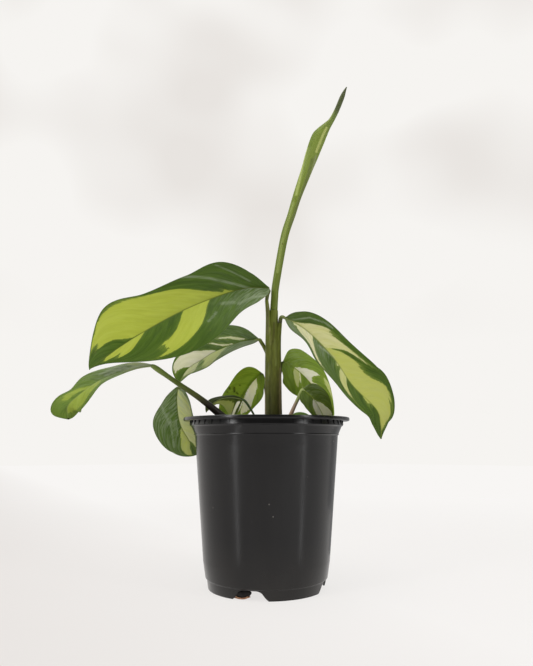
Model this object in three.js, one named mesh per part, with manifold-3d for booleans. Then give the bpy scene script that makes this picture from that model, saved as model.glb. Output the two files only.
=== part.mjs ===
// A young golden mosaic ctenanthe, a prayer plant with patterned leaves, in its nursery pot.
// Millimetres, +Z up. The origin is on the surface that the pot stands on, under its middle.
// -Y is the side that the plant shows to the room.

import * as THREE from 'three';
import { mergeVertices } from 'three/addons/utils/BufferGeometryUtils.js';
import Module from 'manifold-3d';

const wasm = await Module();
wasm.setup();

// The nursery pot, a trade gallon of 165 mm across its rim, from the rim down
const RIM_RADIUS = 82.5;
const POT_HEIGHT = 159.5;
const RIM_THICK = 3.6;
const RIM_ROUNDING = 1.2;
const POT_WALL = 1.6;
const BEAD_RADIUS = 76;
const BEAD_LOW = 151.4;
const BEAD_HIGH = 152.6;
const COLLAR_TOP_RADIUS = 74.5;
const COLLAR_TOP = 150.4;
const COLLAR_LOW_RADIUS = 71.5;
const COLLAR_LOW = 142.5;
const COLLAR_STEP = 0.7;
const SHOULDER_RADIUS = 69.9;
const SHOULDER = 131;
const WAIST_RADIUS = 60.8;
const WAIST = 25;
const FOOT_RADIUS = 55.7;
const FOOT_TOP_RADIUS = 57;
const FOOT_HEIGHT = 9.5;
const FOOT_STEP = 1.4;
const FLOOR_UNDERSIDE = 6;
const FLOOR_THICK = 1.8;
const GATE_PAD_RADIUS = 15;
const GATE_PAD_SLOPE = 2;
const POT_SEGMENTS = 60;

// Drainage notches through the foot, four round the pot
const NOTCH_COUNT = 4;
const NOTCH_FIRST_ANGLE = -105;
const NOTCH_WIDTH = 34;
const NOTCH_TOP_WIDTH = 17;
const NOTCH_HEIGHT = 8.6;
const NOTCH_REACH = 15;
const NOTCH_ROUNDING = 3.5;

// Potting mix
const SOIL_TOP = 143;
const SOIL_BUMP = 1.6;
const SOIL_RINGS = 5;
const SOIL_SEGMENTS = 40;
const SOIL_SEED = 7;

// Clearance between pieces that touch
const GAP = 0.3;
const SOIL_GAP = 0.4;

// Blades: 0.8 mm thick, with a midrib that stands out of the underside
const BLADE_THICK = 0.8;
const RIB_HALF_WIDTH = 1.7;
const RIB_SHARE = 0.25;
const RIB_DEPTH = 1.1;
const BLADE_ROWS = [11, 19];
const ROW_SPACING = 8;
const BLADE_COLUMNS = [0.38, 0.7, 1];
const TIP_SHARPNESS = 0.7;
const BASE_HALF_WIDTH = 0.9;
const TIP_HALF_WIDTH = 0.4;
const STALK_SIDES = 8;
const STALK_RINGS = 9;

// Every leaf: its midrib from base to tip; the direction that its upper face looks in at the
// base, middle and tip; how its outline opens from the base, 0.5 for round and 1 for wedge-shaped;
// the fullness of its outline on either side of the midrib, seen from above with the tip ahead, at
// six even stations; how far each half folds up and curls in degrees; the wave of its margin; and
// its stalk as points with a radius, from the root end to the blade
const LEAVES = {
  upper_left_leaf: {
    midrib: [[3, -6, 292], [-17, -12, 291], [-42, -22, 282], [-79, -36, 263], [-115, -46, 240],
      [-145, -52, 218], [-165, -52, 202]],
    facing: [[-0.1, -0.92, 0.35], [0.1, -1, 0.1], [-0.2, -0.95, 0]],
    roundness: 0.6,
    left: [53, 36, 44, 44, 33, 2],
    right: [11, 38, 30, 34, 58, 48],
    fold: { left: [26, 18, 4], right: [60, 18, -6] },
    curl: { left: -6, right: -10 },
    wave: { height: 1.2, count: 2.5, start: 0.1 },
    stalk: [[0.2, -1.6, 280, 1.7], [1, -2.4, 286, 1.7], [2.4, -4.4, 290.5, 1.5]],
    root: 'pseudostem',
  },
  mid_left_leaf: {
    midrib: [[-8, 9, 241], [-28, 14, 239], [-54, 20, 230], [-68, 24, 222], [-84, 27, 212],
      [-93, 26, 197]],
    facing: [[0, -0.78, 0.62], [0, -0.79, 0.61], [-0.36, -0.89, 0.27]],
    roundness: 0.5,
    left: [15, 14, 16, 16, 16, 10],
    right: [8, 26, 32, 38, 36, 36],
    fold: { left: [16, 13, 10], right: [16, 14, 10] },
    curl: { left: -10, right: -10 },
    wave: { height: 0.8, count: 2, start: 0.3 },
    stalk: [[-3.4, 4.6, 234, 1.8], [-5.6, 6.4, 237.6, 1.6], [-7.4, 8.2, 240.4, 1.4]],
    root: 'pseudostem',
  },
  lower_left_leaf: {
    midrib: [[-107, -36, 208], [-119, -40, 206], [-137, -44, 201], [-157, -48, 192],
      [-174, -52, 178], [-183, -52, 168], [-183, -48, 156]],
    facing: [[0, -0.26, 0.96], [0, -0.52, 0.86], [0.12, -0.98, 0.16]],
    roundness: 0.5,
    left: [6, 5, 11, 13, 22, 40],
    right: [13, 25, 28, 25, 23, 62],
    fold: { left: [7, 8, 0], right: [13, 1, -15] },
    curl: { left: -10, right: -10 },
    wave: { height: 0.8, count: 2, start: 0 },
    stalk: [[-10, -15, 122, 4], [-24, -19, 144, 4.1], [-45, -26, 162, 3.6], [-64, -31, 177, 2.8],
      [-85, -34, 191, 2.4], [-107, -36.5, 206, 2.1]],
    root: 'soil',
  },
  hanging_left_leaf: {
    midrib: [[-97, 48, 195], [-98, 50, 178], [-94, 50, 155], [-83, 49, 136], [-74, 47, 122]],
    facing: [[0, -0.89, 0.45], [-0.19, -0.98, 0.1], [0, -0.98, -0.2]],
    roundness: 0.5,
    left: [19, 17, 17, 18, 19, 21],
    right: [8, 18, 28, 30, 33, 37],
    fold: { left: [12, 10, 8], right: [12, 10, 8] },
    curl: { left: -10, right: -10 },
    wave: { height: 0.8, count: 2, start: 0.2 },
    stalk: [[-10, 19, 122, 2.4], [-22, 22, 144, 2.4], [-45, 27, 163.5, 2.1], [-71, 36, 182, 1.8],
      [-90, 46, 194, 1.6], [-97, 49.5, 193, 1.4]],
    root: 'soil',
  },
  right_leaf: {
    midrib: [[19, -9, 260], [29, -13.5, 254], [44, -22, 241], [65, -34, 215], [81, -44, 188],
      [101, -50, 166], [104.8, -50, 152], [105.6, -48, 138.5]],
    facing: [[0.11, -0.96, 0.24], [0.15, -0.95, 0.25], [0.4, -0.85, 0.35]],
    roundness: 0.85,
    left: [50, 31, 24, 31, 36, 4],
    right: [38, 16, 18, 13, 19, 22],
    fold: { left: [55, 17, 4], right: [14, 3, 18] },
    curl: { left: -10, right: 0 },
    wave: { height: 1, count: 2.5, start: 0.4 },
    stalk: [[14, -1.8, 256, 1.9], [14.6, -3.8, 260.4, 1.7], [16.6, -7, 261.4, 1.5]],
    root: 'pseudostem',
  },
  right_inner_leaf: {
    midrib: [[17, 10, 218], [26, 12, 214], [43, 20, 200], [57, 24, 180], [67, 19, 154]],
    facing: [[0, -0.89, 0.45], [0.19, -0.91, 0.37], [0.37, -0.93, 0.09]],
    roundness: 0.5,
    left: [38, 28, 23, 19, 16, 18],
    right: [40, 31, 24, 19, 17, 16],
    fold: { left: [6, 8, 9], right: [6, 9, 8] },
    curl: { left: -10, right: -10 },
    wave: { height: 0.7, count: 2, start: 0.1 },
    stalk: [[10, 15, 122, 2], [10, 15, 165, 1.9], [13, 13, 200, 1.7], [16.5, 10.5, 216, 1.5]],
    root: 'soil',
  },
  right_front_leaf: {
    midrib: [[35, -30, 186], [45, -28, 177], [53, -25, 164], [59, -22, 150]],
    facing: [[0, -0.89, 0.45], [0.18, -0.91, 0.37], [0.37, -0.92, 0.09]],
    roundness: 0.5,
    left: [18, 16, 15, 15, 16, 17],
    right: [23, 15, 13, 12, 12, 11],
    fold: { left: [10, 10, 8], right: [10, 10, 8] },
    curl: { left: -10, right: -10 },
    wave: { height: 0.5, count: 2, start: 0.2 },
    stalk: [[14, -20, 122, 2.4], [19, -23.5, 148, 2.4], [23.6, -25.5, 162, 2], [31, -28, 178, 1.4],
      [34.2, -29.6, 185, 1.2]],
    root: 'soil',
  },
  left_inner_leaf: {
    midrib: [[-5, 18, 207], [-16, 18, 196], [-24, 16, 183], [-33, 12, 166], [-39, 6, 151]],
    facing: [[0, -0.89, 0.45], [-0.09, -0.92, 0.37], [-0.1, -0.99, 0.1]],
    roundness: 0.5,
    left: [20, 20, 20, 18, 18, 19],
    right: [26, 21, 19, 21, 24, 26],
    fold: { left: [14, 12, 10], right: [14, 12, 10] },
    curl: { left: -10, right: -10 },
    wave: { height: 0.6, count: 2, start: 0 },
    stalk: [[2, 21, 122, 1.8], [2, 21, 160, 1.7], [-1, 20, 190, 1.5], [-4.5, 18.5, 205, 1.3]],
    root: 'soil',
  },
  small_left_leaf: {
    midrib: [[-23, -6, 177.5], [-34, -7.5, 179.3], [-45, -9, 178], [-54, -10, 172.5],
      [-60, -10, 164.5]],
    facing: [[0, -0.6, 0.8], [0, -0.6, 0.8], [-0.2, -0.6, 0.75]],
    roundness: 0.5,
    left: [26, 26, 18, 6, 3, 3],
    right: [4, 5, 5, 8, 14, 14],
    fold: { left: [-30, -28, -20], right: [0, 0, 0] },
    curl: { left: -10, right: -10 },
    wave: { height: 0.4, count: 1.5, start: 0 },
    stalk: [[-4.5, -6, 122, 1.2], [-5.5, -6, 146, 1.1], [-12.4, -5, 162, 1], [-18.5, -5.5, 172, 1],
      [-22.3, -5.8, 176.6, 1.1]],
    root: 'soil',
  },
  sprout_leaf: {
    midrib: [[21, -47, 154.5], [28, -50, 158.5], [36, -52, 157.5], [44, -53, 151]],
    facing: [[0, -0.7, 0.7], [0.1, -0.7, 0.7], [0.5, -0.7, 0.5]],
    roundness: 0.5,
    left: [5, 6, 6, 6, 6, 6],
    right: [5, 6, 6, 6, 6, 6],
    fold: { left: [12, 10, 8], right: [12, 10, 8] },
    curl: { left: -10, right: -10 },
    wave: { height: 0.2, count: 1, start: 0 },
    stalk: [[15, -41, 124, 1.2], [17, -44, 144, 1.1], [20.5, -46.5, 153.5, 1]],
    root: 'soil',
  },
};

// The new leaf, still rolled: centre line, and its width and depth across the roll
const NEW_LEAF = [
  [7.6, 0, 270, 7.8, 7], [8.4, 0, 283, 7.6, 6.8], [9.8, 0, 298, 7.8, 6.8], [18.5, -2, 347, 8.2, 7],
  [26.6, -4, 373, 8.6, 7.4], [32.7, -6, 393, 9.6, 8.4], [42.6, -9, 421, 12.8, 10],
  [48.1, -11, 437, 15.4, 11], [54.8, -13, 455, 16.8, 10.4], [59.1, -14, 462, 14.4, 8.6],
  [64.3, -15, 468.5, 9.8, 7], [69.6, -16, 475, 6.4, 6], [75.3, -17, 486, 5.8, 5.6],
  [81.1, -19, 500, 5.4, 5], [84.1, -20, 507, 3, 2.8], [86.2, -20.5, 511.2, 0.9, 0.9],
];
const ROLL_SIDES = 14;
const ROLL_RINGS = 26;
const ROLL_STEP = 0.16;
const ROLL_STARTS = 0.45;
const ROLL_SEAM = -0.25;

// The pseudostem: stalks that sheathe each other, as centre lines with a width and a depth
const SHEATHS = [
  [[7, 0, 122, 17.6, 15], [7, 0, 160, 17.6, 15], [6.6, 0, 205, 16.2, 14], [6.6, 0, 232, 15, 12],
    [7, 0, 252, 10.6, 9.4], [7.6, 0, 269.6, 8.6, 7.8]],
  [[3, -2, 130, 9, 10], [2.6, -2, 200, 8.4, 10], [2, -2, 240, 6.2, 8], [1.6, -1.8, 264, 4.8, 5.4],
    [0.2, -1.6, 280, 3.6, 3.6]],
  [[12, -1, 130, 8, 9], [11.8, -1, 200, 6.8, 9], [12.2, -1, 236, 5.4, 7], [14, -1.8, 256, 4, 4]],
  [[4, 1, 200, 5, 5], [1.6, 2, 222, 4.4, 4.4], [-3.4, 4.6, 234, 3.8, 3.8]],
];
const SHEATH_SIDES = 12;
const SHEATH_RINGS = 9;

// Curves

const FINE_STEPS = 400;

// A smooth curve through points of any number of values, at 0 to 1
function through(points, t) {
  const last = points.length - 1;
  const along = Math.min(Math.max(t, 0), 1) * last;
  const index = Math.min(Math.floor(along), last - 1);
  const w = along - index;
  const from = points[index];
  const to = points[index + 1];
  return from.map((_, k) => {
    const before = index > 0 ? points[index - 1][k] : 2 * from[k] - to[k];
    const after = index + 2 <= last ? points[index + 2][k] : 2 * to[k] - from[k];
    const slope = to[k] - before;
    const bend = 2 * before - 5 * from[k] + 4 * to[k] - after;
    const twist = 3 * from[k] - before - 3 * to[k] + after;
    return from[k] + 0.5 * w * (slope + w * (bend + w * twist));
  });
}

const vector = (values) => new THREE.Vector3(values[0], values[1], values[2]);

// Lengths along the curve at 0, 1, 2 and on to FINE_STEPS even parameters
function runningLengths(points) {
  const lengths = [0];
  for (let i = 1; i <= FINE_STEPS; i += 1) {
    const a = vector(through(points, (i - 1) / FINE_STEPS));
    const b = vector(through(points, i / FINE_STEPS));
    lengths.push(lengths[i - 1] + a.distanceTo(b));
  }
  return lengths;
}

const lengthOf = (points) => runningLengths(points)[FINE_STEPS];

// Curve parameters of rows that lie evenly along the curve's length
function evenSteps(points, rows) {
  const lengths = runningLengths(points);
  const steps = [];
  let i = 0;
  for (let row = 0; row < rows; row += 1) {
    const target = (lengths[FINE_STEPS] * row) / (rows - 1);
    while (i < FINE_STEPS - 1 && lengths[i + 1] < target) i += 1;
    const part = (target - lengths[i]) / (lengths[i + 1] - lengths[i]);
    steps.push((i + part) / FINE_STEPS);
  }
  return steps;
}

function tangentAt(points, t) {
  const ahead = vector(through(points, Math.min(t + 0.001, 1)));
  const behind = vector(through(points, Math.max(t - 0.001, 0)));
  return ahead.sub(behind).normalize();
}

// A value that goes smoothly through its base, middle and tip settings
function baseMiddleTip(values, s) {
  const [base, middle, tip] = values;
  return base * (2 * s - 1) * (s - 1) + middle * 4 * s * (1 - s) + tip * s * (2 * s - 1);
}

// Closed surfaces

function closedGeometry(points, triangles) {
  const geometry = new THREE.BufferGeometry();
  const flat = points.flatMap((point) => [point.x, point.y, point.z]);
  geometry.setAttribute('position', new THREE.Float32BufferAttribute(flat, 3));
  geometry.setIndex(triangles.flat());
  return geometry;
}

// Rings of points that follow each other, closed by a flat cap at either end
function ringsToGeometry(rings) {
  const sides = rings[0].length;
  const triangles = [];
  for (let i = 0; i < rings.length - 1; i += 1) {
    for (let j = 0; j < sides; j += 1) {
      const a = i * sides + j;
      const b = i * sides + ((j + 1) % sides);
      triangles.push([a, b, b + sides], [a, b + sides, a + sides]);
    }
  }
  const top = (rings.length - 1) * sides;
  for (let j = 1; j < sides - 1; j += 1) {
    triangles.push([0, j + 1, j], [top, top + j, top + j + 1]);
  }
  return closedGeometry(rings.flat(), triangles);
}

// Solids that are joined and cut

function toSolid(geometry) {
  const bare = geometry.clone();
  bare.deleteAttribute('normal');
  bare.deleteAttribute('uv');
  const merged = mergeVertices(bare, 1e-4);
  return new wasm.Manifold(new wasm.Mesh({
    numProp: 3,
    vertProperties: new Float32Array(merged.attributes.position.array),
    triVerts: new Uint32Array(merged.index.array),
  }));
}

function toGeometry(solid) {
  const mesh = solid.getMesh();
  const geometry = new THREE.BufferGeometry();
  geometry.setAttribute('position', new THREE.BufferAttribute(new Float32Array(mesh.vertProperties), 3));
  geometry.setIndex(new THREE.BufferAttribute(new Uint32Array(mesh.triVerts), 1));
  geometry.computeVertexNormals();
  return geometry;
}

const joined = (solids) => solids.reduce((whole, solid) => whole.add(solid));

// Stalks and sheaths: oval rings along a centre line of [x, y, z, width, depth]
function ovalStalk(line, sides, rings, grow = 0) {
  const start = vector(line[0]).addScaledVector(tangentAt(line, 0), -grow);
  const ovals = evenSteps(line, rings).map((t, row) => {
    const values = through(line, t);
    const centre = row === 0 ? start : vector(values);
    const along = tangentAt(line, t);
    const across = new THREE.Vector3(0, 1, 0).cross(along).normalize();
    const deep = along.clone().cross(across);
    return Array.from({ length: sides }, (_, j) => {
      const angle = (2 * Math.PI * j) / sides;
      return centre.clone()
        .addScaledVector(across, Math.cos(angle) * (values[3] / 2 + grow))
        .addScaledVector(deep, Math.sin(angle) * (values[4] / 2 + grow));
    });
  });
  return toSolid(ringsToGeometry(ovals));
}

// A leaf's stalk, round, from its root into the underside of the midrib
function stalkSolid(leaf, grow = 0) {
  const into = vector(through(leaf.midrib, 0.05)).addScaledVector(vector(leaf.facing[0]), -1);
  const line = leaf.stalk.map(([x, y, z, radius]) => [x, y, z, 2 * radius, 2 * radius]);
  const end = 1.1 * leaf.stalk.at(-1)[3];
  line.push([into.x, into.y, into.z, end, end]);
  return ovalStalk(line, STALK_SIDES, STALK_RINGS, grow);
}

// Blades

function halfWidth(widths, roundness, s) {
  const widest = roundness / (roundness + TIP_SHARPNESS);
  const full = widest ** roundness * (1 - widest) ** TIP_SHARPNESS;
  const outline = (s ** roundness * (1 - s) ** TIP_SHARPNESS) / full;
  const least = BASE_HALF_WIDTH + (TIP_HALF_WIDTH - BASE_HALF_WIDTH) * s;
  return Math.max(through(widths.map((width) => [width]), s)[0] * outline, least);
}

// Distance across and height above the midrib, a share v of the way out to the margin
function acrossBlade(leaf, side, s, v, width) {
  const fold = THREE.MathUtils.degToRad(baseMiddleTip(leaf.fold[side], s));
  const curl = THREE.MathUtils.degToRad(leaf.curl[side]);
  const bent = Math.abs(curl) > 1e-4;
  const out = bent ? (Math.sin(fold + curl * v) - Math.sin(fold)) / curl : v * Math.cos(fold);
  const up = bent ? (Math.cos(fold) - Math.cos(fold + curl * v)) / curl : v * Math.sin(fold);
  const { height, count, start } = leaf.wave;
  const turn = count * s + start + (side === 'left' ? 0.25 : 0);
  const wave = height * Math.sin(2 * Math.PI * turn) * Math.sqrt(Math.sin(Math.PI * s));
  return [width * out, width * up + wave * v * v];
}

// Upper face of a blade as rows of points from the left margin over the midrib to the right one
function bladeRows(leaf) {
  const length = lengthOf(leaf.midrib);
  const count = THREE.MathUtils.clamp(Math.round(length / ROW_SPACING), ...BLADE_ROWS);
  return evenSteps(leaf.midrib, count).map((t, row) => {
    const s = row / (count - 1);
    const centre = vector(through(leaf.midrib, t));
    const along = tangentAt(leaf.midrib, t);
    const axes = [0, 1, 2].map((k) => baseMiddleTip(leaf.facing.map((facing) => facing[k]), s));
    const up = vector(axes);
    up.addScaledVector(along, -up.dot(along)).normalize();
    const right = along.clone().cross(up);
    const half = (side, sign) => {
      const width = halfWidth(leaf[side], leaf.roundness, s);
      const rib = Math.min(RIB_SHARE, RIB_HALF_WIDTH / width);
      return [rib, ...BLADE_COLUMNS].map((v) => {
        const [out, rise] = acrossBlade(leaf, side, s, v, width);
        return centre.clone().addScaledVector(right, sign * out).addScaledVector(up, rise);
      });
    };
    return [...half('left', -1).reverse(), centre, ...half('right', 1)];
  });
}

// Both faces of a blade are split into triangles alike, and walls join them all round
function bladeSolid(leaf) {
  const upper = bladeRows(leaf);
  const rows = upper.length;
  const columns = upper[0].length;
  const middle = (columns - 1) / 2;
  const lower = upper.map((row, i) => row.map((point, j) => {
    const ahead = upper[Math.min(i + 1, rows - 1)][j].clone().sub(upper[Math.max(i - 1, 0)][j]);
    const aside = row[Math.min(j + 1, columns - 1)].clone().sub(row[Math.max(j - 1, 0)]);
    const normal = aside.cross(ahead).normalize();
    const rib = j === middle ? RIB_DEPTH * (1 - i / (rows - 1)) : 0;
    return point.clone().addScaledVector(normal, -(BLADE_THICK + rib));
  }));
  const top = (i, j) => i * columns + j;
  const under = (i, j) => rows * columns + i * columns + j;
  const triangles = [];
  for (let i = 0; i < rows - 1; i += 1) {
    for (let j = 0; j < columns - 1; j += 1) {
      triangles.push([top(i, j), top(i, j + 1), top(i + 1, j + 1)]);
      triangles.push([top(i, j), top(i + 1, j + 1), top(i + 1, j)]);
      triangles.push([under(i, j), under(i + 1, j + 1), under(i, j + 1)]);
      triangles.push([under(i, j), under(i + 1, j), under(i + 1, j + 1)]);
    }
  }
  const wall = (a, b, c, d) => triangles.push([a, b, c], [a, c, d]);
  const right = columns - 1;
  for (let i = 0; i < rows - 1; i += 1) {
    wall(top(i, 0), top(i + 1, 0), under(i + 1, 0), under(i, 0));
    wall(top(i + 1, right), top(i, right), under(i, right), under(i + 1, right));
  }
  const end = rows - 1;
  for (let j = 0; j < right; j += 1) {
    wall(top(0, j), under(0, j), under(0, j + 1), top(0, j + 1));
    wall(under(end, j), top(end, j), top(end, j + 1), under(end, j + 1));
  }
  return toSolid(closedGeometry([...upper.flat(), ...lower.flat()], triangles));
}

const leafSolid = (leaf) => joined([bladeSolid(leaf), stalkSolid(leaf)]);

// The new leaf: a roll whose outer margin stands proud of the turn below it
function newLeafSolid() {
  const rings = evenSteps(NEW_LEAF, ROLL_RINGS).map((t, row) => {
    const [x, y, z, width, depth] = through(NEW_LEAF, t);
    const along = tangentAt(NEW_LEAF, t);
    const across = new THREE.Vector3(0, 1, 0).cross(along).normalize();
    const deep = along.clone().cross(across);
    const opened = Math.max(0, row / (ROLL_RINGS - 1) - ROLL_STARTS) / (1 - ROLL_STARTS);
    const step = ROLL_STEP * Math.min(1, 3 * opened);
    return Array.from({ length: ROLL_SIDES }, (_, j) => {
      const turn = j / ROLL_SIDES;
      const angle = 2 * Math.PI * (turn + ROLL_SEAM);
      const reach = 1 - step * turn;
      return new THREE.Vector3(x, y, z)
        .addScaledVector(across, (Math.cos(angle) * reach * width) / 2)
        .addScaledVector(deep, (Math.sin(angle) * reach * depth) / 2);
    });
  });
  return toSolid(ringsToGeometry(rings));
}

// Pot

// Outer wall from the foot up to the rim, as [radius, height]
const RIM_UNDERSIDE = POT_HEIGHT - RIM_THICK;
const POT_OUTSIDE = [
  [FOOT_RADIUS, 0],
  [FOOT_TOP_RADIUS, FOOT_HEIGHT - 0.5],
  [FOOT_TOP_RADIUS + FOOT_STEP, FOOT_HEIGHT + 0.5],
  [WAIST_RADIUS, WAIST],
  [SHOULDER_RADIUS, SHOULDER],
  [COLLAR_LOW_RADIUS - COLLAR_STEP, COLLAR_LOW - 0.5],
  [COLLAR_LOW_RADIUS, COLLAR_LOW + 0.2],
  [COLLAR_TOP_RADIUS, COLLAR_TOP],
  [BEAD_RADIUS, BEAD_LOW],
  [BEAD_RADIUS, BEAD_HIGH],
  [BEAD_RADIUS - COLLAR_STEP, RIM_UNDERSIDE],
  [RIM_RADIUS - RIM_ROUNDING, RIM_UNDERSIDE],
  [RIM_RADIUS, RIM_UNDERSIDE + RIM_ROUNDING],
  [RIM_RADIUS, POT_HEIGHT - RIM_ROUNDING],
  [RIM_RADIUS - RIM_ROUNDING, POT_HEIGHT],
];

// Inner wall from the rim down to the floor
const INNER_LIP_RADIUS = BEAD_RADIUS - POT_WALL + 0.4;
const INNER_COLLAR_RADIUS = COLLAR_LOW_RADIUS - COLLAR_STEP - POT_WALL;
const INNER_FLOOR_RADIUS = FOOT_TOP_RADIUS - POT_WALL;
const FLOOR_TOP = FLOOR_UNDERSIDE + FLOOR_THICK;
const POT_INSIDE = [
  [INNER_LIP_RADIUS, POT_HEIGHT],
  [COLLAR_TOP_RADIUS - POT_WALL, COLLAR_TOP],
  [INNER_COLLAR_RADIUS, COLLAR_LOW],
  [SHOULDER_RADIUS - POT_WALL, SHOULDER],
  [WAIST_RADIUS - POT_WALL, WAIST],
  [INNER_FLOOR_RADIUS, FLOOR_TOP],
];

function revolved(profile, segments) {
  const points = profile.map(([radius, height]) => new THREE.Vector2(radius, height));
  const geometry = new THREE.LatheGeometry(points, segments);
  return toSolid(geometry.rotateX(Math.PI / 2));
}

// A flat pad in the middle of the floor reaches down to the level of the foot ring
function potShell() {
  return revolved([
    [0, 0],
    [GATE_PAD_RADIUS, 0],
    [GATE_PAD_RADIUS + GATE_PAD_SLOPE, FLOOR_UNDERSIDE],
    [FOOT_RADIUS - POT_WALL, FLOOR_UNDERSIDE],
    [FOOT_RADIUS - POT_WALL, 0],
    ...POT_OUTSIDE,
    ...POT_INSIDE,
    [GATE_PAD_RADIUS + GATE_PAD_SLOPE / 2, FLOOR_TOP],
    [GATE_PAD_RADIUS - GATE_PAD_SLOPE / 2, FLOOR_THICK],
    [0, FLOOR_THICK],
  ], POT_SEGMENTS);
}

// A notch's outline seen from outside: wide at the foot, sloping sides, a rounded top
function notchCutter(angle) {
  const foot = NOTCH_WIDTH / 2 + 1;
  const top = NOTCH_TOP_WIDTH / 2;
  const shoulder = NOTCH_HEIGHT - NOTCH_ROUNDING * 0.6;
  const outline = new THREE.Shape();
  outline.moveTo(-foot, -1);
  outline.lineTo(foot, -1);
  outline.quadraticCurveTo(foot - NOTCH_ROUNDING, 1, top + NOTCH_ROUNDING * 0.7, shoulder);
  outline.quadraticCurveTo(top, NOTCH_HEIGHT, top - NOTCH_ROUNDING, NOTCH_HEIGHT);
  outline.lineTo(NOTCH_ROUNDING - top, NOTCH_HEIGHT);
  outline.quadraticCurveTo(-top, NOTCH_HEIGHT, -top - NOTCH_ROUNDING * 0.7, shoulder);
  outline.quadraticCurveTo(NOTCH_ROUNDING - foot, 1, -foot, -1);
  const options = { depth: NOTCH_REACH + 5, bevelEnabled: false, curveSegments: 3 };
  const cutter = new THREE.ExtrudeGeometry(outline, options);
  cutter.rotateX(Math.PI / 2).rotateZ(Math.PI / 2);
  cutter.translate(FOOT_RADIUS - NOTCH_REACH, 0, 0);
  cutter.rotateZ(THREE.MathUtils.degToRad(angle));
  return toSolid(cutter);
}

function potSolid() {
  let pot = potShell();
  for (let i = 0; i < NOTCH_COUNT; i += 1) {
    pot = pot.subtract(notchCutter(NOTCH_FIRST_ANGLE + (i * 360) / NOTCH_COUNT));
  }
  return pot;
}

// Soil

// Repeatable random numbers from 0 to 1
function randomSource(seed) {
  let state = seed;
  return () => {
    state = (state * 16807) % 2147483647;
    return state / 2147483647;
  };
}

// The mix fills the pot's inner wall less a small gap, and its top is lumpy
function soilBody() {
  const random = randomSource(SOIL_SEED);
  const foot = FLOOR_TOP + GAP;
  const topRadius = INNER_COLLAR_RADIUS - SOIL_GAP;
  const sides = [
    [INNER_FLOOR_RADIUS - SOIL_GAP, foot],
    [WAIST_RADIUS - POT_WALL - SOIL_GAP, WAIST],
    [SHOULDER_RADIUS - POT_WALL - SOIL_GAP, SHOULDER],
    [topRadius, COLLAR_LOW - 0.5],
  ];
  const ring = (radius, height) => Array.from({ length: SOIL_SEGMENTS }, (_, j) => {
    const angle = (2 * Math.PI * j) / SOIL_SEGMENTS;
    const level = typeof height === 'function' ? height() : height;
    return new THREE.Vector3(radius * Math.cos(angle), radius * Math.sin(angle), level);
  });
  const rings = sides.map(([radius, height]) => ring(radius, height));
  for (let i = 1; i < SOIL_RINGS; i += 1) {
    const radius = topRadius * (1 - i / SOIL_RINGS);
    rings.push(ring(radius, () => SOIL_TOP + SOIL_BUMP * (random() - 0.3)));
  }
  return toSolid(ringsToGeometry(rings));
}

// Materials

const MATERIALS = {
  pot: new THREE.MeshStandardMaterial({ color: 0x343233, roughness: 0.42, metalness: 0 }),
  soil: new THREE.MeshStandardMaterial({ color: 0x3a2c20, roughness: 0.95, metalness: 0 }),
  stem: new THREE.MeshStandardMaterial({ color: 0x59602b, roughness: 0.55, metalness: 0 }),
  newLeaf: new THREE.MeshStandardMaterial({ color: 0x788a3e, roughness: 0.5, metalness: 0 }),
  leaf: new THREE.MeshStandardMaterial({ color: 0x5f7a34, roughness: 0.5, metalness: 0 }),
};

// The plant in its pot

const plant = new THREE.Group();
plant.name = 'potted_ctenanthe';

function place(name, solid, material) {
  const mesh = new THREE.Mesh(toGeometry(solid), material.clone());
  mesh.name = name;
  plant.add(mesh);
}

let soil = soilBody();
let pseudostem = joined(SHEATHS.map((line) => ovalStalk(line, SHEATH_SIDES, SHEATH_RINGS)));
const sockets = SHEATHS.map((line) => ovalStalk(line, SHEATH_SIDES, SHEATH_RINGS, GAP));
soil = soil.subtract(joined(sockets));

for (const [name, leaf] of Object.entries(LEAVES)) {
  if (leaf.root === 'soil') soil = soil.subtract(stalkSolid(leaf, GAP));
  else pseudostem = pseudostem.subtract(stalkSolid(leaf, GAP));
  place(name, leafSolid(leaf), MATERIALS.leaf);
}

place('pot', potSolid(), MATERIALS.pot);
place('soil', soil, MATERIALS.soil);
place('pseudostem', pseudostem, MATERIALS.stem);
place('new_leaf', newLeafSolid(), MATERIALS.newLeaf);

export default plant;
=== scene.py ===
# A young golden mosaic ctenanthe, a prayer plant, in its black nursery pot: the finished
# surfaces of every piece. Metres, +Z up; tables are in millimetres and go through MM.
import itertools
import math

import bpy
import numpy as np
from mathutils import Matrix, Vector


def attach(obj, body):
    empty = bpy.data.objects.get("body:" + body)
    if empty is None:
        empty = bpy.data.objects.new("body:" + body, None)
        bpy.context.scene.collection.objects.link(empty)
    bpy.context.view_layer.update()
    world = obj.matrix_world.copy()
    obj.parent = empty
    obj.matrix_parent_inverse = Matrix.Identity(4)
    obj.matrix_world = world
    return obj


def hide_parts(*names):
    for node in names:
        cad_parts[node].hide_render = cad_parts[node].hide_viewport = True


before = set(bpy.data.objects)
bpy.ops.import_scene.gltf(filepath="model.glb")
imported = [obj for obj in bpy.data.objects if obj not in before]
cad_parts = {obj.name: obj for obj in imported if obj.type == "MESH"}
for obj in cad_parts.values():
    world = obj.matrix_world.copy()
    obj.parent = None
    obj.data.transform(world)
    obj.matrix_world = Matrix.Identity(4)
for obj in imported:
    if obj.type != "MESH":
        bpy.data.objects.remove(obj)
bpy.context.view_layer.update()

MM = 0.001

# Camera: the photograph's frame, and the eye that its rim, collar and foot circles agree with
PHOTO_WIDTH = 533
PHOTO_HEIGHT = 666
FOCAL_PIXELS = 592
SENSOR_MM = 36
EYE_MM = (0, -600, 137.6)
EYE_PITCH = 10.24


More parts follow.
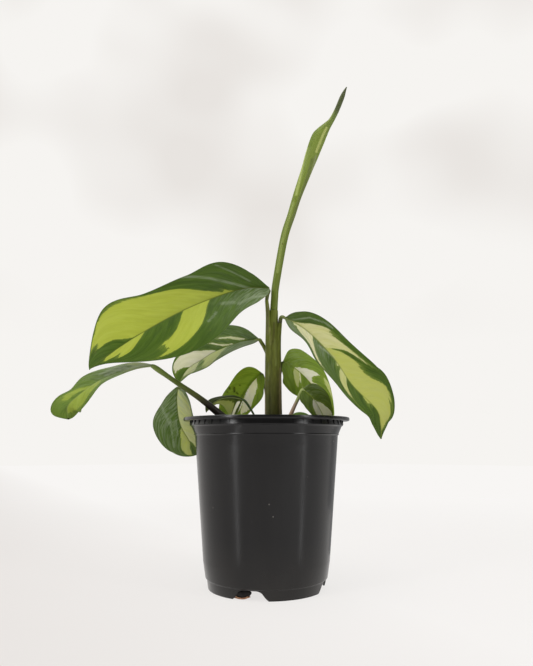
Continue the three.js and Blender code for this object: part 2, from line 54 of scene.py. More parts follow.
def make_camera():
    lens = bpy.data.cameras.new("camera")
    lens.sensor_width = SENSOR_MM
    lens.lens = FOCAL_PIXELS / max(PHOTO_WIDTH, PHOTO_HEIGHT) * SENSOR_MM
    lens.clip_start = 0.01
    camera = bpy.data.objects.new("camera", lens)
    camera.location = [value * MM for value in EYE_MM]
    camera.rotation_euler = (math.radians(90 + EYE_PITCH), 0, 0)
    bpy.context.scene.collection.objects.link(camera)
    bpy.context.scene.camera = camera


make_camera()

# Leaves, as the imported solids have them, in millimetres: the midrib from base to tip, where the
# upper face looks at base, middle and tip, the fullness of either half, its folds, curl and
# waves, and the stalk with its radius. Each leaf's veins lean forward by the two shares in
# "veins". The painted gloss of either half, a grey-green painted sheen near its stalk, is (share
# at the base, share of the midrib over which it fades). Scars, which are brown, and sheens, pale
# highlights painted along folds that catch the light, are (share, half width, line of (x, z)).
# Stalk colours are (share of the way from root end to blade, colour). Patches are (how pale,
# from 0 for lime to 1 for cream, closed outline of (way along the midrib, way out to the
# margin), both in hundredths).
USUAL_LEAF = dict(
    roundness=0.5,
    curl=dict(left=-10, right=-10),
    bloom=dict(left=(0, 1), right=(0, 1)),
    scars=[],
    sheens=[],
    skin="mature_blade",
    patches=dict(left=[], right=[]),
)


def leaf(**own):
    return {**USUAL_LEAF, **own}


LEAVES = {
    "upper_left_leaf": leaf(
        midrib=[(3, -6, 292), (-17, -12, 291), (-42, -22, 282), (-79, -36, 263), (-115, -46, 240),
                (-145, -52, 218), (-165, -52, 202)],
        facing=[(-0.1, -0.92, 0.35), (0.1, -1, 0.1), (-0.2, -0.95, 0)],
        roundness=0.6,
        left=[53, 36, 44, 44, 33, 2],
        right=[11, 38, 30, 34, 58, 48],
        fold=dict(left=[26, 18, 4], right=[60, 18, -6]),
        curl=dict(left=-6, right=-10),
        wave=(1.2, 2.5, 0.1),
        stalk=[(0.2, -1.6, 280, 1.7), (1, -2.4, 286, 1.7), (2.4, -4.4, 290.5, 1.5)],
        bloom=dict(left=(0.42, 0.22), right=(0.04, 0.5)),
        sheens=[(0.4, 1.3, [(-106, 286), (-94, 291), (-81, 294.5), (-69, 295.5), (-57, 295.5),
                            (-44, 294), (-32, 292.5), (-16, 290)]),
                (0.3, 0.9, [(-51, 309), (-41, 306), (-31, 302.5), (-17, 297)]),
                (0.4, 1.1, [(-56, 250), (-51, 256), (-49, 260)]),
                (0.35, 2, [(-44, 270), (-32, 271.6)]), (0.4, 2, [(-27, 270), (-12, 279)]),
                (0.6, 1.4, [(-10, 279), (2, 282)])],
        veins=(0.24, 0.12),
        stalk_colours=[(0, "#59602f"), (0.5, "#5f6a33"), (1, "#67753a")],
        patches=dict(left=[
            (0, [(33, 0), (36, 14), (40, 37), (44, 54), (50, 66), (58, 78), (65, 86), (72, 93),
                 (66, 79), (63.5, 73), (65.5, 68), (65, 60), (66, 56), (60, 47), (56, 36), (52, 20),
                 (48, 2), (47, 0)]),
            (0, [(69, 0), (75, 22), (80, 43), (83, 52), (86.2, 63), (85, 45), (83.5, 24), (86, 38),
                 (90, 46), (92, 55), (92, 38), (90.5, 10), (87, 5), (84, 0)]),
        ], right=[
            (0, [(19, 0), (22, 6), (24.3, 13), (25, 6), (26.2, 8), (30, 17), (35, 33), (40, 52),
                 (45, 68), (50, 79), (56, 88), (62, 94), (68, 92), (74, 89), (80, 93), (84, 93),
                 (85, 97), (87, 92), (93, 93), (95, 85), (92, 77), (92, 72), (90.5, 68), (90, 60),
                 (91.5, 52), (90, 42), (87, 36), (83, 25), (80, 14), (77, 5), (74, 1), (70, 0)]),
        ]),
    ),
    "mid_left_leaf": leaf(
        midrib=[(-8, 9, 241), (-28, 14, 239), (-54, 20, 230), (-68, 24, 222), (-84, 27, 212),
                (-93, 26, 197)],
        facing=[(0, -0.78, 0.62), (0, -0.79, 0.61), (-0.36, -0.89, 0.27)],
        left=[15, 14, 16, 16, 16, 10],
        right=[8, 26, 32, 38, 36, 36],
        fold=dict(left=[16, 13, 10], right=[16, 14, 10]),
        wave=(0.8, 2, 0.3),
        stalk=[(-3.4, 4.6, 234, 1.8), (-5.6, 6.4, 237.6, 1.6), (-7.4, 8.2, 240.4, 1.4)],
        bloom=dict(left=(0.42, 1.2), right=(0.1, 0.5)),
        sheens=[(0.45, 1.2, [(-11, 238.5), (-28, 233), (-41, 224.6)])],
        veins=(0.3, 0.15),
        stalk_colours=[(0, "#6a742c"), (0.6, "#7d8840"), (1, "#8d9850")],
        patches=dict(left=[
            (0.35, [(34, 0), (40, 40), (46, 75), (54, 97), (64, 93), (66, 60), (62, 30), (64, 0)]),
            (0.6, [(68, 0), (72, 40), (77, 80), (84, 85), (90, 60), (93, 0)]),
        ], right=[
            (0.8, [(15, 10), (20, 10), (30, 30), (40, 40), (46, 48), (40, 45), (30, 40), (20, 25),
                   (15, 17)]),
            (0.8, [(28, 0), (38, 5), (45, 20), (54, 40), (48, 33), (42, 20), (35, 10), (28, 3)]),
            (1, [(46, 0), (54, 14), (64, 34), (73, 56), (80, 78), (85, 90), (89, 90), (92, 70),
                 (89, 50), (86, 30), (82, 10), (80, 0)]),
        ]),
    ),
    "lower_left_leaf": leaf(
        midrib=[(-107, -36, 208), (-119, -40, 206), (-137, -44, 201), (-157, -48, 192),
                (-174, -52, 178), (-183, -52, 168), (-183, -48, 156)],
        facing=[(0, -0.26, 0.96), (0, -0.52, 0.86), (0.12, -0.98, 0.16)],
        left=[6, 5, 11, 13, 22, 40],
        right=[13, 25, 28, 25, 23, 62],
        fold=dict(left=[7, 8, 0], right=[13, 1, -15]),
        wave=(0.8, 2, 0),
        stalk=[(-10, -15, 122, 4), (-24, -19, 144, 4.1), (-45, -26, 162, 3.6),
               (-64, -31, 177, 2.8), (-85, -34, 191, 2.4), (-107, -36.5, 206, 2.1)],
        bloom=dict(left=(0.48, 0.42), right=(0.48, 0.42)),
        sheens=[(0.5, 1.6, [(-110, 209), (-126, 206), (-141, 202.8), (-152, 197)]),
                (0.4, 1.4, [(-146, 206.6), (-159, 199)])],
        scars=[(1, 0.9, [(-183, 157), (-183, 155.4)])],
        veins=(0.15, 0.15),
        stalk_colours=[(0, "#17110d"), (0.5, "#1d1710"), (0.55, "#312f15"), (0.62, "#454b1e"),
                       (0.8, "#4f5d20"), (1, "#788a44")],
        skin="arching_blade",
        # The first patch of either half lightens the base as a painted sheen
        patches=dict(left=[
            (0.2, [(-10, 0), (-10, 110), (26, 110), (22, 70), (30, 40), (24, 0)]),
            (0, [(50, 0), (51, 30), (53, 50), (58, 62), (64, 60), (69, 70), (74, 82), (80, 80),
                 (86, 70), (91, 62), (93, 40), (94, 10), (93, 0)]),
        ], right=[
            (0.2, [(-10, 0), (-10, 110), (20, 110), (26, 70), (18, 40), (24, 0)]),
            (0, [(60, 0), (65, 15), (70, 45), (74, 62), (80, 78), (84, 75), (86, 55), (85, 35),
                 (84, 28), (78, 30), (72, 20), (66, 0)]),
        ]),
    ),
    "hanging_left_leaf": leaf(
        midrib=[(-97, 48, 195), (-98, 50, 178), (-94, 50, 155), (-83, 49, 136), (-74, 47, 122)],
        facing=[(0, -0.89, 0.45), (-0.19, -0.98, 0.1), (0, -0.98, -0.2)],
        left=[19, 17, 17, 18, 19, 21],
        right=[8, 18, 28, 30, 33, 37],
        fold=dict(left=[12, 10, 8], right=[12, 10, 8]),
        wave=(0.8, 2, 0.2),
        stalk=[(-10, 19, 122, 2.4), (-22, 22, 144, 2.4), (-45, 27, 163.5, 2.1),
               (-71, 36, 182, 1.8), (-90, 46, 194, 1.6), (-97, 49.5, 193, 1.4)],
        bloom=dict(left=(0.4, 0.6), right=(0.26, 0.9)),
        sheens=[(0.4, 1, [(-105, 160), (-99.7, 130)]), (0.4, 1.2, [(-115, 174), (-105, 154.6)]),
                (0.35, 0.8, [(-98.4, 159), (-95.7, 142)])],
        veins=(0.2, 0.2),
        stalk_colours=[(0, "#34301c"), (0.6, "#4a4f28"), (1, "#5f6b33")],
        patches=dict(left=[
            (0.45, [(4, 0), (6, 50), (15, 85), (35, 95), (50, 90), (62, 72), (68, 75), (75, 62),
                    (82, 60), (88, 50), (92, 35), (85, 25), (80, 10), (77, 0)]),
        ], right=[
            (0.2, [(56, 0), (62, 12), (70, 25), (80, 50), (88, 65), (94, 75), (96, 55), (92, 30),
                   (86, 15), (80, 0)]),
        ]),
    ),
    "right_leaf": leaf(
        midrib=[(19, -9, 260), (29, -13.5, 254), (44, -22, 241), (65, -34, 215), (81, -44, 188),
                (101, -50, 166), (104.8, -50, 152), (105.6, -48, 138.5)],
        facing=[(0.11, -0.96, 0.24), (0.15, -0.95, 0.25), (0.4, -0.85, 0.35)],
        roundness=0.85,
        left=[50, 31, 24, 31, 36, 4],
        right=[38, 16, 18, 13, 19, 22],
        fold=dict(left=[55, 17, 4], right=[14, 3, 18]),
        curl=dict(left=-10, right=0),
        wave=(1, 2.5, 0.4),
        stalk=[(14, -1.8, 256, 1.9), (14.6, -3.8, 260.4, 1.7), (16.6, -7, 261.4, 1.5)],
        bloom=dict(left=(0.1, 0.1), right=(0.3, 0.45)),
        sheens=[(0.55, 0.7, [(23, 257), (43, 257.5), (58, 251), (65, 245)]),
                (0.4, 1.4, [(73, 240), (88, 227)]), (0.4, 1.2, [(51, 228.5), (65, 216.6)])],
        veins=(0.12, 0.3),
        stalk_colours=[(0, "#4b4a2a"), (0.4, "#66703c"), (1, "#7b8450")],
        skin="young_blade",
        patches=dict(left=[
            (0.5, [(5, 0), (8, 6), (12, 20), (18, 45), (24, 66), (28.5, 78), (29, 62), (31, 70),
                   (32, 60), (34, 67), (41, 74), (49, 80), (57, 84), (56.5, 80), (49, 73), (43, 58),
                   (38, 30), (34.5, 5), (33.5, 0)]),
            (0.15, [(34.5, 0), (36.5, 15), (41, 35), (47, 52), (52, 58), (54.5, 58), (55.5, 53),
                    (62, 55), (69, 60), (73, 68), (77, 80), (79, 80), (81, 86), (81.5, 77), (82.5, 69),
                    (85, 72), (89, 70), (92, 60), (93.5, 40), (95, 15), (96, 0)]),
        ], right=[
            (0.75, [(5, 0), (7, 10), (8, 28), (10, 22), (12, 42), (16, 60), (20, 74), (27, 83),
                    (35, 88), (44, 92), (46, 90), (41, 83), (35, 77), (30, 60), (25.5, 35), (23.5, 10),
                    (22.5, 0)]),
            (0.4, [(46, 0), (47, 10), (48.5, 16), (48.5, 0)]),
            (0.4, [(50.5, 0), (52, 20), (55, 40), (58, 57), (63, 70), (67.5, 77), (69, 75), (68, 66),
                   (64, 50), (61, 33), (59, 15), (57, 0)]),
            (0.15, [(72, 0), (75, 15), (77, 20), (78, 5), (79, 0)]),
        ]),
    ),
    "right_inner_leaf": leaf(
        midrib=[(17, 10, 218), (26, 12, 214), (43, 20, 200), (57, 24, 180), (67, 19, 154)],
        facing=[(0, -0.89, 0.45), (0.19, -0.91, 0.37), (0.37, -0.93, 0.09)],
        left=[38, 28, 23, 19, 16, 18],
        right=[40, 31, 24, 19, 17, 16],
        fold=dict(left=[6, 8, 9], right=[6, 9, 8]),
        wave=(0.7, 2, 0.1),
        stalk=[(10, 15, 122, 2), (10, 15, 165, 1.9), (13, 13, 200, 1.7), (16.5, 10.5, 216, 1.5)],
        bloom=dict(left=(0.14, 0.3), right=(0.05, 0.2)),
        veins=(0.2, 0.15),
        stalk_colours=[(0, "#2c2919"), (0.7, "#33331c"), (1, "#4b5527")],
        skin="shaded_blade",
        patches=dict(left=[
            (1, [(15, 0), (20, 10), (30, 35), (40, 57), (47, 67), (43, 50), (41, 35), (42, 15),
                 (45, 10), (52, 28), (50, 10), (49, 0)]),
            (0.3, [(50, 80), (56, 95), (66, 100), (76, 100), (70, 88), (62, 76), (56, 70)]),
        ], right=[
            (0.35, [(16, 2), (18, 25), (22, 45), (30, 62), (34, 60), (31, 40), (27, 15), (25, 3)]),
            (0.9, [(25, 3), (30, 28), (35, 42), (41, 50), (44, 70), (50, 100), (47, 75), (43, 50),
                   (36, 42), (33, 30), (28, 10), (26, 2)]),
        ]),
    ),
    "right_front_leaf": leaf(
        midrib=[(35, -30, 186), (45, -28, 177), (53, -25, 164), (59, -22, 150)],
        facing=[(0, -0.89, 0.45), (0.18, -0.91, 0.37), (0.37, -0.92, 0.09)],
        left=[18, 16, 15, 15, 16, 17],
        right=[23, 15, 13, 12, 12, 11],
        fold=dict(left=[10, 10, 8], right=[10, 10, 8]),
        wave=(0.5, 2, 0.2),
        stalk=[(14, -20, 122, 2.4), (19, -23.5, 148, 2.4), (23.6, -25.5, 162, 2),
               (31, -28, 178, 1.4), (34.2, -29.6, 185, 1.2)],
        bloom=dict(left=(0.2, 0.4), right=(0.05, 0.3)),
        veins=(0.2, 0.15),
        stalk_colours=[(0, "#87705a"), (0.5, "#9a8068"), (0.74, "#a28a74"), (0.82, "#93a15c"),
                       (1, "#a6b272")],
        skin="crowded_blade",
        patches=dict(left=[
            (0.9, [(36, 0), (42, 12), (48, 26), (56, 42), (66, 62), (76, 84), (88, 92), (97, 50),
                   (98, 0)]),
        ], right=[
            (0.9, [(32, 0), (34, 20), (40, 36), (50, 50), (62, 56), (80, 60), (93, 50), (97, 0)]),
        ]),
    ),
    "left_inner_leaf": leaf(
        midrib=[(-5, 18, 207), (-16, 18, 196), (-24, 16, 183), (-33, 12, 166), (-39, 6, 151)],
        facing=[(0, -0.89, 0.45), (-0.09, -0.92, 0.37), (-0.1, -0.99, 0.1)],
        left=[20, 20, 20, 18, 18, 19],
        right=[26, 21, 19, 21, 24, 26],
        fold=dict(left=[14, 12, 10], right=[14, 12, 10]),
        wave=(0.6, 2, 0),
        stalk=[(2, 21, 122, 1.8), (2, 21, 160, 1.7), (-1, 20, 190, 1.5), (-4.5, 18.5, 205, 1.3)],
        scars=[(1, 1, [(-38.9, 191.6), (-38.3, 190)]), (1, 1.1, [(-33.8, 191.4), (-33.4, 187)]),
               (1, 0.8, [(-31, 186), (-29.6, 184.4)]), (1, 0.7, [(-41, 186.4), (-40.4, 186)]),
               (1, 0.7, [(-28, 194), (-27.6, 193.6)])],
        veins=(0.2, 0.15),
        stalk_colours=[(0, "#33331d"), (1, "#55612b")],
        skin="sheltered_blade",
        patches=dict(left=[
            (0.85, [(12, 2), (14, 20), (18, 42), (25, 53), (35, 56), (45, 62), (50, 70), (60, 88),
                    (68, 75), (75, 60), (72, 45), (62, 30), (55, 20), (47, 12), (30, 3)]),
            (1, [(30, 5), (38, 30), (45, 45), (52, 50), (50, 25), (45, 10), (35, 3)]),
            (1, [(55, 0), (60, 10), (70, 17), (78, 20), (84, 0)]),
        ], right=[
            (1, [(60, 0), (70, 10), (80, 18), (84, 0)]),
        ]),
    ),
    "small_left_leaf": leaf(
        midrib=[(-23, -6, 177.5), (-34, -7.5, 179.3), (-45, -9, 178), (-54, -10, 172.5),
                (-60, -10, 164.5)],
        facing=[(0, -0.6, 0.8), (0, -0.6, 0.8), (-0.2, -0.6, 0.75)],
        left=[26, 26, 18, 6, 3, 3],
        right=[4, 5, 5, 8, 14, 14],
        fold=dict(left=[-30, -28, -20], right=[0, 0, 0]),
        wave=(0.4, 1.5, 0),
        stalk=[(-4.5, -6, 122, 1.2), (-5.5, -6, 146, 1.1), (-12.4, -5, 162, 1),
               (-18.5, -5.5, 172, 1), (-22.3, -5.8, 176.6, 1.1)],
        veins=(0.15, 0.1),
        stalk_colours=[(0, "#2f3a1d"), (1, "#40522a")],
        skin="dark_young_blade",
        patches=dict(left=[
            (0.1, [(20, 30), (26, 60), (38, 110), (75, 110), (80, 50), (62, 20), (40, 18), (28, 20)]),
            (1, [(6, 20), (10, 50), (20, 110), (34, 110), (24, 70), (18, 40), (13, 20)]),
            (1, [(0, 30), (-2, 70), (-3, 110), (8, 110), (5, 70), (3, 30)]),
        ], right=[]),
    ),
    "sprout_leaf": leaf(
        midrib=[(21, -47, 154.5), (28, -50, 158.5), (36, -52, 157.5), (44, -53, 151)],
        facing=[(0, -0.7, 0.7), (0.1, -0.7, 0.7), (0.5, -0.7, 0.5)],
        left=[5, 6, 6, 6, 6, 6],
        right=[5, 6, 6, 6, 6, 6],
        fold=dict(left=[12, 10, 8], right=[12, 10, 8]),
        wave=(0.2, 1, 0),
        stalk=[(15, -41, 124, 1.2), (17, -44, 144, 1.1), (20.5, -46.5, 153.5, 1)],
        veins=(0.2, 0.1),
        stalk_colours=[(0, "#3d4a26"), (1, "#4e6130")],
    ),
}

# Blades: how fine their meshes are, and the relief that a living leaf has, in millimetres
TIP_SHARPNESS = 0.7
BASE_HALF_WIDTH = 0.9
TIP_HALF_WIDTH = 0.4
ROW_STEP = 1.1
HALF_COLUMNS = (18, 34)
COLUMN_STEP = 1.3
COLUMN_CROWDING = 1.3
BLADE_THICK = 0.45
CHANNEL_DEPTH = 0.4
CHANNEL_REACH = 1.1
KEEL_DEPTH = 0.9
KEEL_REACH = 1.3
RIB_SLIMMING = 0.6
PLEAT_HEIGHT = 0.14
PLEAT_SPACING = 9.5
PUCKER_HEIGHT = 0.3
PUCKER_ALONG = 5.3
PUCKER_ACROSS = 6.7
PUCKER_DRIFT = 4.1
PUCKER_SWAY = 0.9
CALM_BY_RIB = 6
CALM_BY_MARGIN = 4


# Points, curves and meshes

def unit(vectors):
    return vectors / np.linalg.norm(vectors, axis=-1, keepdims=True)


def through(points, t):
    """A smooth curve through points of any number of values, at each t from 0 to 1."""
    points = np.asarray(points, float)
    last = len(points) - 1
    along = np.clip(np.asarray(t, float), 0, 1) * last
    index = np.minimum(along.astype(int), last - 1)
    w = (along - index)[..., None]
    before = 2 * points[:1] - points[1:2]
    after = 2 * points[-1:] - points[-2:-1]
    longer = np.vstack([before, points, after])
    p0, p1, p2, p3 = (longer[index + k] for k in range(4))
    slope = p2 - p0
    bend = 2 * p0 - 5 * p1 + 4 * p2 - p3
    twist = 3 * p1 - p0 - 3 * p2 + p3
    return p1 + 0.5 * w * (slope + w * (bend + w * twist))


def even_steps(points, count):
    """Curve parameters that lie evenly along the curve's length, and that length."""
    fine = np.linspace(0, 1, 401)
    places = through(points, fine)[:, :3]
    gaps = np.linalg.norm(np.diff(places, axis=0), axis=1)
    lengths = np.concatenate([[0], np.cumsum(gaps)])
    return np.interp(np.linspace(0, lengths[-1], count), lengths, fine), lengths[-1]


def tangents(points, t):
    ahead = through(points, np.minimum(t + 0.001, 1))
    behind = through(points, np.maximum(t - 0.001, 0))
    return unit((ahead - behind)[..., :3])


def smooth_step(low, high, value):
    t = np.clip((value - low) / (high - low), 0, 1)
    return t * t * (3 - 2 * t)


def base_middle_tip(values, s):
    base, middle, tip = values
    return base * (2 * s - 1) * (s - 1) + middle * 4 * s * (1 - s) + tip * s * (2 * s - 1)


def edge_distance(places, start, end):
    """Distance from places of (x, y) to the nearest of the edges from each start to each end."""
    edge = end - start
    to = places[:, None] - start[None]
    share = np.clip((to * edge).sum(-1) / np.maximum((edge * edge).sum(-1), 1e-12), 0, 1)
    return np.linalg.norm(to - share[..., None] * edge, axis=-1).min(1)


STROKE_EDGE = (0.4, 1.4)


def stroke(points, reach, line):
    """A soft stroke along a line of (x, z), as seen from the front: its share at each point."""
    line = np.array(line, float)
    distance = edge_distance(points[:, [0, 2]], line[:-1], line[1:])
    return 1 - smooth_step(*(share * reach for share in STROKE_EDGE), distance)


def make_piece(name, node, slot, points, faces, materials, values=(), sharp=40, painted=()):
    """A mesh from points in millimetres, which stands for a node and takes the given materials; the slot is
    not used.
    """
    mesh = bpy.data.meshes.new(name)
    mesh.from_pydata(np.asarray(points) * MM, [], faces)
    for material in materials:
        mesh.materials.append(material)
    if len(painted):
        mesh.polygons.foreach_set("material_index", painted)
    for key, numbers in dict(values).items():
        kind = "FLOAT_COLOR" if numbers.ndim == 2 else "FLOAT"
        attribute = mesh.attributes.new(key, kind, "POINT")
        attribute.data.foreach_set("color" if numbers.ndim == 2 else "value", numbers.ravel())
    mesh.shade_smooth()
    mesh.set_sharp_from_angle(angle=math.radians(sharp))
    piece = bpy.data.objects.new(name, mesh)
    bpy.context.scene.collection.objects.link(piece)
    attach(piece, "root")
    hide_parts(node)


def ring_faces(rings, sides):
    """Quads between closed rings of points that follow each other, and a cap at either end."""
    faces = []
    for i in range(rings - 1):
        for j in range(sides):
            a = i * sides + j
            b = i * sides + (j + 1) % sides
            faces.append((a, b, b + sides, a + sides))
    top = (rings - 1) * sides
    faces.append(tuple(range(sides - 1, -1, -1)))
    faces.append(tuple(range(top, top + sides)))
    return faces


def joined(solids):
    """Solids of (name, operation, (points, faces)) made into one by Booleans, from the first."""
    parts = []
    for name, operation, (points, faces) in solids:
        mesh = bpy.data.meshes.new(name)
        mesh.from_pydata(np.reshape(points, (-1, 3)) * MM, [], faces)
        parts.append(bpy.data.objects.new(name, mesh))
        bpy.context.scene.collection.objects.link(parts[-1])
        if len(parts) > 1:
            change = parts[0].modifiers.new(name, "BOOLEAN")
            change.operation = operation
            change.solver = "MANIFOLD"
            change.object = parts[-1]
    shape = parts[0].evaluated_get(bpy.context.evaluated_depsgraph_get())
    mesh = bpy.data.meshes.new_from_object(shape)
    points = np.array([vertex.co[:] for vertex in mesh.vertices]) / MM
    faces = [tuple(face.vertices) for face in mesh.polygons]
    for part in parts:
        bpy.data.objects.remove(part)
    return points, faces


def merged(solids):
    """Separate solids of (points, faces) as one list of points and one of faces."""
    points = []
    faces = []
    for own_points, own_faces in solids:
        faces += [tuple(len(points) + corner for corner in face) for face in own_faces]
        points += [tuple(point) for point in own_points]
    return points, faces


def painted_faces(solids, paints):
    """For each face of the merged solids, which of the piece's materials it takes."""
    return [paint for paint, (_, faces) in zip(paints, solids) for _ in faces]


def oval_rings(line, rings, sides, seam=0, reach=1):
    """Oval rings along a centre line of (x, y, z, width, depth), which start at a share of the
    way round and reach a share of their size, and the line's length."""
    t, length = even_steps(line, rings)
    values = through(line, t)[:, None]
    along = tangents(line, t)
    across = unit(np.cross((0, 1, 0), along))
    deep = np.cross(along, across)
    angle = 2 * np.pi * (np.arange(sides) / sides + seam)
    wide = (np.cos(angle) * reach)[..., None] * across[:, None] * values[..., 3:4] / 2
    thick = (np.sin(angle) * reach)[..., None] * deep[:, None] * values[..., 4:5] / 2
    return values[..., :3] + wide + thick, length


# Materials

# The output that is meant where a node's first one isn't
GIVES = {"Attribute": "Fac", "TexCoord": "Object", "Mix": 2, "VectorMath": "Value"}


def to_linear(hex_colour):
    """An sRGB colour such as "#4c6126" as the linear red, green, blue and alpha of a socket."""
    channels = [int(hex_colour[i:i + 2], 16) / 255 for i in (1, 3, 5)]
    linear = [c / 12.92 if c <= 0.04045 else ((c + 0.055) / 1.055) ** 2.4 for c in channels]
    return (*linear, 1)


def add(tree, kind, inputs=(), stops=(), gives=None, **settings):
    """Add a node, and give its output. Its inputs are named, or in a row from the first. One
    that is a socket is linked, a hex colour is turned to linear, and any other is set."""
    node = tree.nodes.new("ShaderNode" + kind)
    for name, value in settings.items():
        setattr(node, name, value)
    for key, value in inputs.items() if isinstance(inputs, dict) else enumerate(inputs):
        if isinstance(value, bpy.types.NodeSocket):
            tree.links.new(value, node.inputs[key])
        else:
            node.inputs[key].default_value = to_linear(value) if isinstance(value, str) else value
    for index, (place, colour) in enumerate(stops):
        ramp = node.color_ramp.elements
        stop = ramp[index] if index < len(ramp) else ramp.new(place)
        stop.position = place
        stop.color = to_linear(colour)
    if len(node.outputs):
        return node.outputs[gives or GIVES.get(kind, 0)]


def layered(tree, skin, layers):
    """Colours laid over a skin in turn, each (colour, what decides its share, the span of that,
    the shares at its ends), and a socket to multiply the share by where it has one."""
    for colour, decides, span, shares, *more in layers:
        share = add(tree, "MapRange", (decides, *span, *shares), interpolation_type="SMOOTHSTEP")
        for times in more:
            share = add(tree, "Math", (share, times), operation="MULTIPLY")
        skin = add(tree, "Mix", {0: share, 6: skin, 7: colour}, data_type="RGBA")
    return skin


def cells(size):
    """The scale of a texture whose cells have a real size in millimetres."""
    return 1 / (size * MM)


def new_material(name):
    material = bpy.data.materials.new(name)
    material.use_nodes = True
    material.node_tree.nodes.clear()
    return material, material.node_tree


def finish_material(tree, surface, height, bump):
    """A surface with its settings, and a bump from a height that is given in millimetres."""
    normal = add(tree, "Bump", {"Height": height, "Distance": MM, "Strength": bump})
    shader = add(tree, "BsdfPrincipled", {**surface, "Normal": normal})
    add(tree, "OutputMaterial", (shader,))


# A living blade: a waxy skin over soft green tissue. To the eye it has a satin gloss, pale
# tissue where it has no green, edges of each patch that are frayed along the veins, veins
# about 1.2 mm apart that catch the light, a grey-green painted sheen near its stalk, pale
# highlights painted along its folds, and a paler, duller underside. A young blade lets more
# light through. Some skins are painted brighter, as painted light through blades in shade, and
# some darker, as painted shade. Streaks are (millimetres across the veins, millimetres along
# them, detail).
FINE_VEIN = 1.2
RIDGE_HEIGHT = 0.035
THREAD_HEIGHT = 0.24
FRAY_STREAKS = (1.4, 14, 3)
THREADS = (0.45, 9, 2)
CLOUDS = (7, 16, 2)
PAINTED_GLOSS_STREAKS = (2.6, 9, 3)
SHEEN_STREAKS = (3, 6, 2)
FRAY = 1.4
HALO_FRAY = 3.5
PATCH_EDGE = (-0.12, 0.12)
HALO_EDGE = (-1.4, -0.9)
RIB_LINE = (0.25, 0.75)
MARGIN_LINE = (0.25, 0.8)
SPECK_SPACING = 18.18
SPECK_EDGE = (0.028, 0.045)
# The colour of the painted sheen and the painted highlights on the blades
PAINTED_SHEEN_TONE = "#9ba68a"
SPECK = "#6b5a35"
SCAR = "#1c1a08"
BLADE_VALUES = ("vein", "out", "edge", "patch", "pale", "bloom", "sheen", "below", "scar", "turn")


def living_blade(name, dark, mid, lime, cream, under, rib, lets_through, light_reach):
    material, tree = new_material(name)
    at = {key: add(tree, "Attribute", attribute_name=key) for key in BLADE_VALUES}

    def streaks(across_veins, along_veins, detail):
        across = add(tree, "Math", (at["vein"], across_veins), operation="DIVIDE")
        along = add(tree, "Math", (at["out"], along_veins), operation="DIVIDE")
        place = add(tree, "CombineXYZ", (across, along, at["turn"]))
        return add(tree, "TexNoise", {"Vector": place, "Scale": 1.0, "Detail": detail, "Roughness": 0.6})

    def frayed(noise, reach):
        """The distance inside a patch, moved by noise as far as a reach in millimetres."""
        moved = add(tree, "Math", (noise, 0.5), operation="SUBTRACT")
        return add(tree, "Math", (moved, 2 * reach, at["patch"]), operation="MULTIPLY_ADD")

    thread = streaks(*THREADS)
    cloud = streaks(*CLOUDS)
    deep = layered(tree, dark[0], [
        (dark[1], cloud, (0.35, 0.65), (0, 1)),
        (dark[2], thread, (0.48, 0.72), (0, 0.6)),
        (mid, frayed(thread, HALO_FRAY), HALO_EDGE, (0, 0.4)),
    ])
    pale = add(tree, "Mix", {0: at["pale"], 6: lime[0], 7: cream}, data_type="RGBA")
    clouding = add(tree, "Math", (at["pale"], -0.375, 0.5), operation="MULTIPLY_ADD")
    light = layered(tree, pale, [
        (lime[1], cloud, (0.4, 0.65), (0, clouding)),
        (mid, thread, (0.5, 0.75), (0, 0.3)),
    ])
    upper = layered(tree, deep, [
        (light, frayed(streaks(*FRAY_STREAKS), FRAY), PATCH_EDGE, (0, 1)),
        # Painted sheen near the stalk and painted highlights along folds, in a grey-green that stands in
        # for the lights' gloss
        (PAINTED_SHEEN_TONE, streaks(*PAINTED_GLOSS_STREAKS), (0.4, 0.62), (0.2, 1.8), at["bloom"]),
        (PAINTED_SHEEN_TONE, streaks(*SHEEN_STREAKS), (0.35, 0.6), (0.5, 1.2), at["sheen"]),
        (rib, at["out"], RIB_LINE, (0.65, 0)),
        (dark[0], at["edge"], MARGIN_LINE, (0.7, 0)),
    ])
    place = add(tree, "TexCoord")
    speck = add(tree, "TexVoronoi", {"Vector": place, "Scale": cells(SPECK_SPACING)})
    skin = layered(tree, upper, [
        (under, at["below"], (0, 1), (0, 0.6)),
        (SPECK, speck, SPECK_EDGE, (0.8, 0)),
    ])
    skin = add(tree, "Mix", {0: at["scar"], 6: skin, 7: SCAR}, data_type="RGBA")

    turn = add(tree, "Math", (at["vein"], 2 * math.pi / FINE_VEIN), operation="MULTIPLY")
    ridge = add(tree, "Math", (turn,), operation="SINE")
    threads = add(tree, "Math", (thread, THREAD_HEIGHT), operation="MULTIPLY")
    surface = {
        "Base Color": skin,
        "Roughness": add(tree, "MapRange", (thread, 0.3, 0.7, 0.34, 0.48), interpolation_type="SMOOTHSTEP"),
        "IOR": 1.42,
        "Specular IOR Level": 0.14,
        "Subsurface Weight": lets_through,
        "Subsurface Radius": (0.9, 1.0, 0.5),
        "Subsurface Scale": light_reach * MM,
    }
    height = add(tree, "Math", (ridge, RIDGE_HEIGHT, threads), operation="MULTIPLY_ADD")
    finish_material(tree, surface, height, 0.5)
    return material


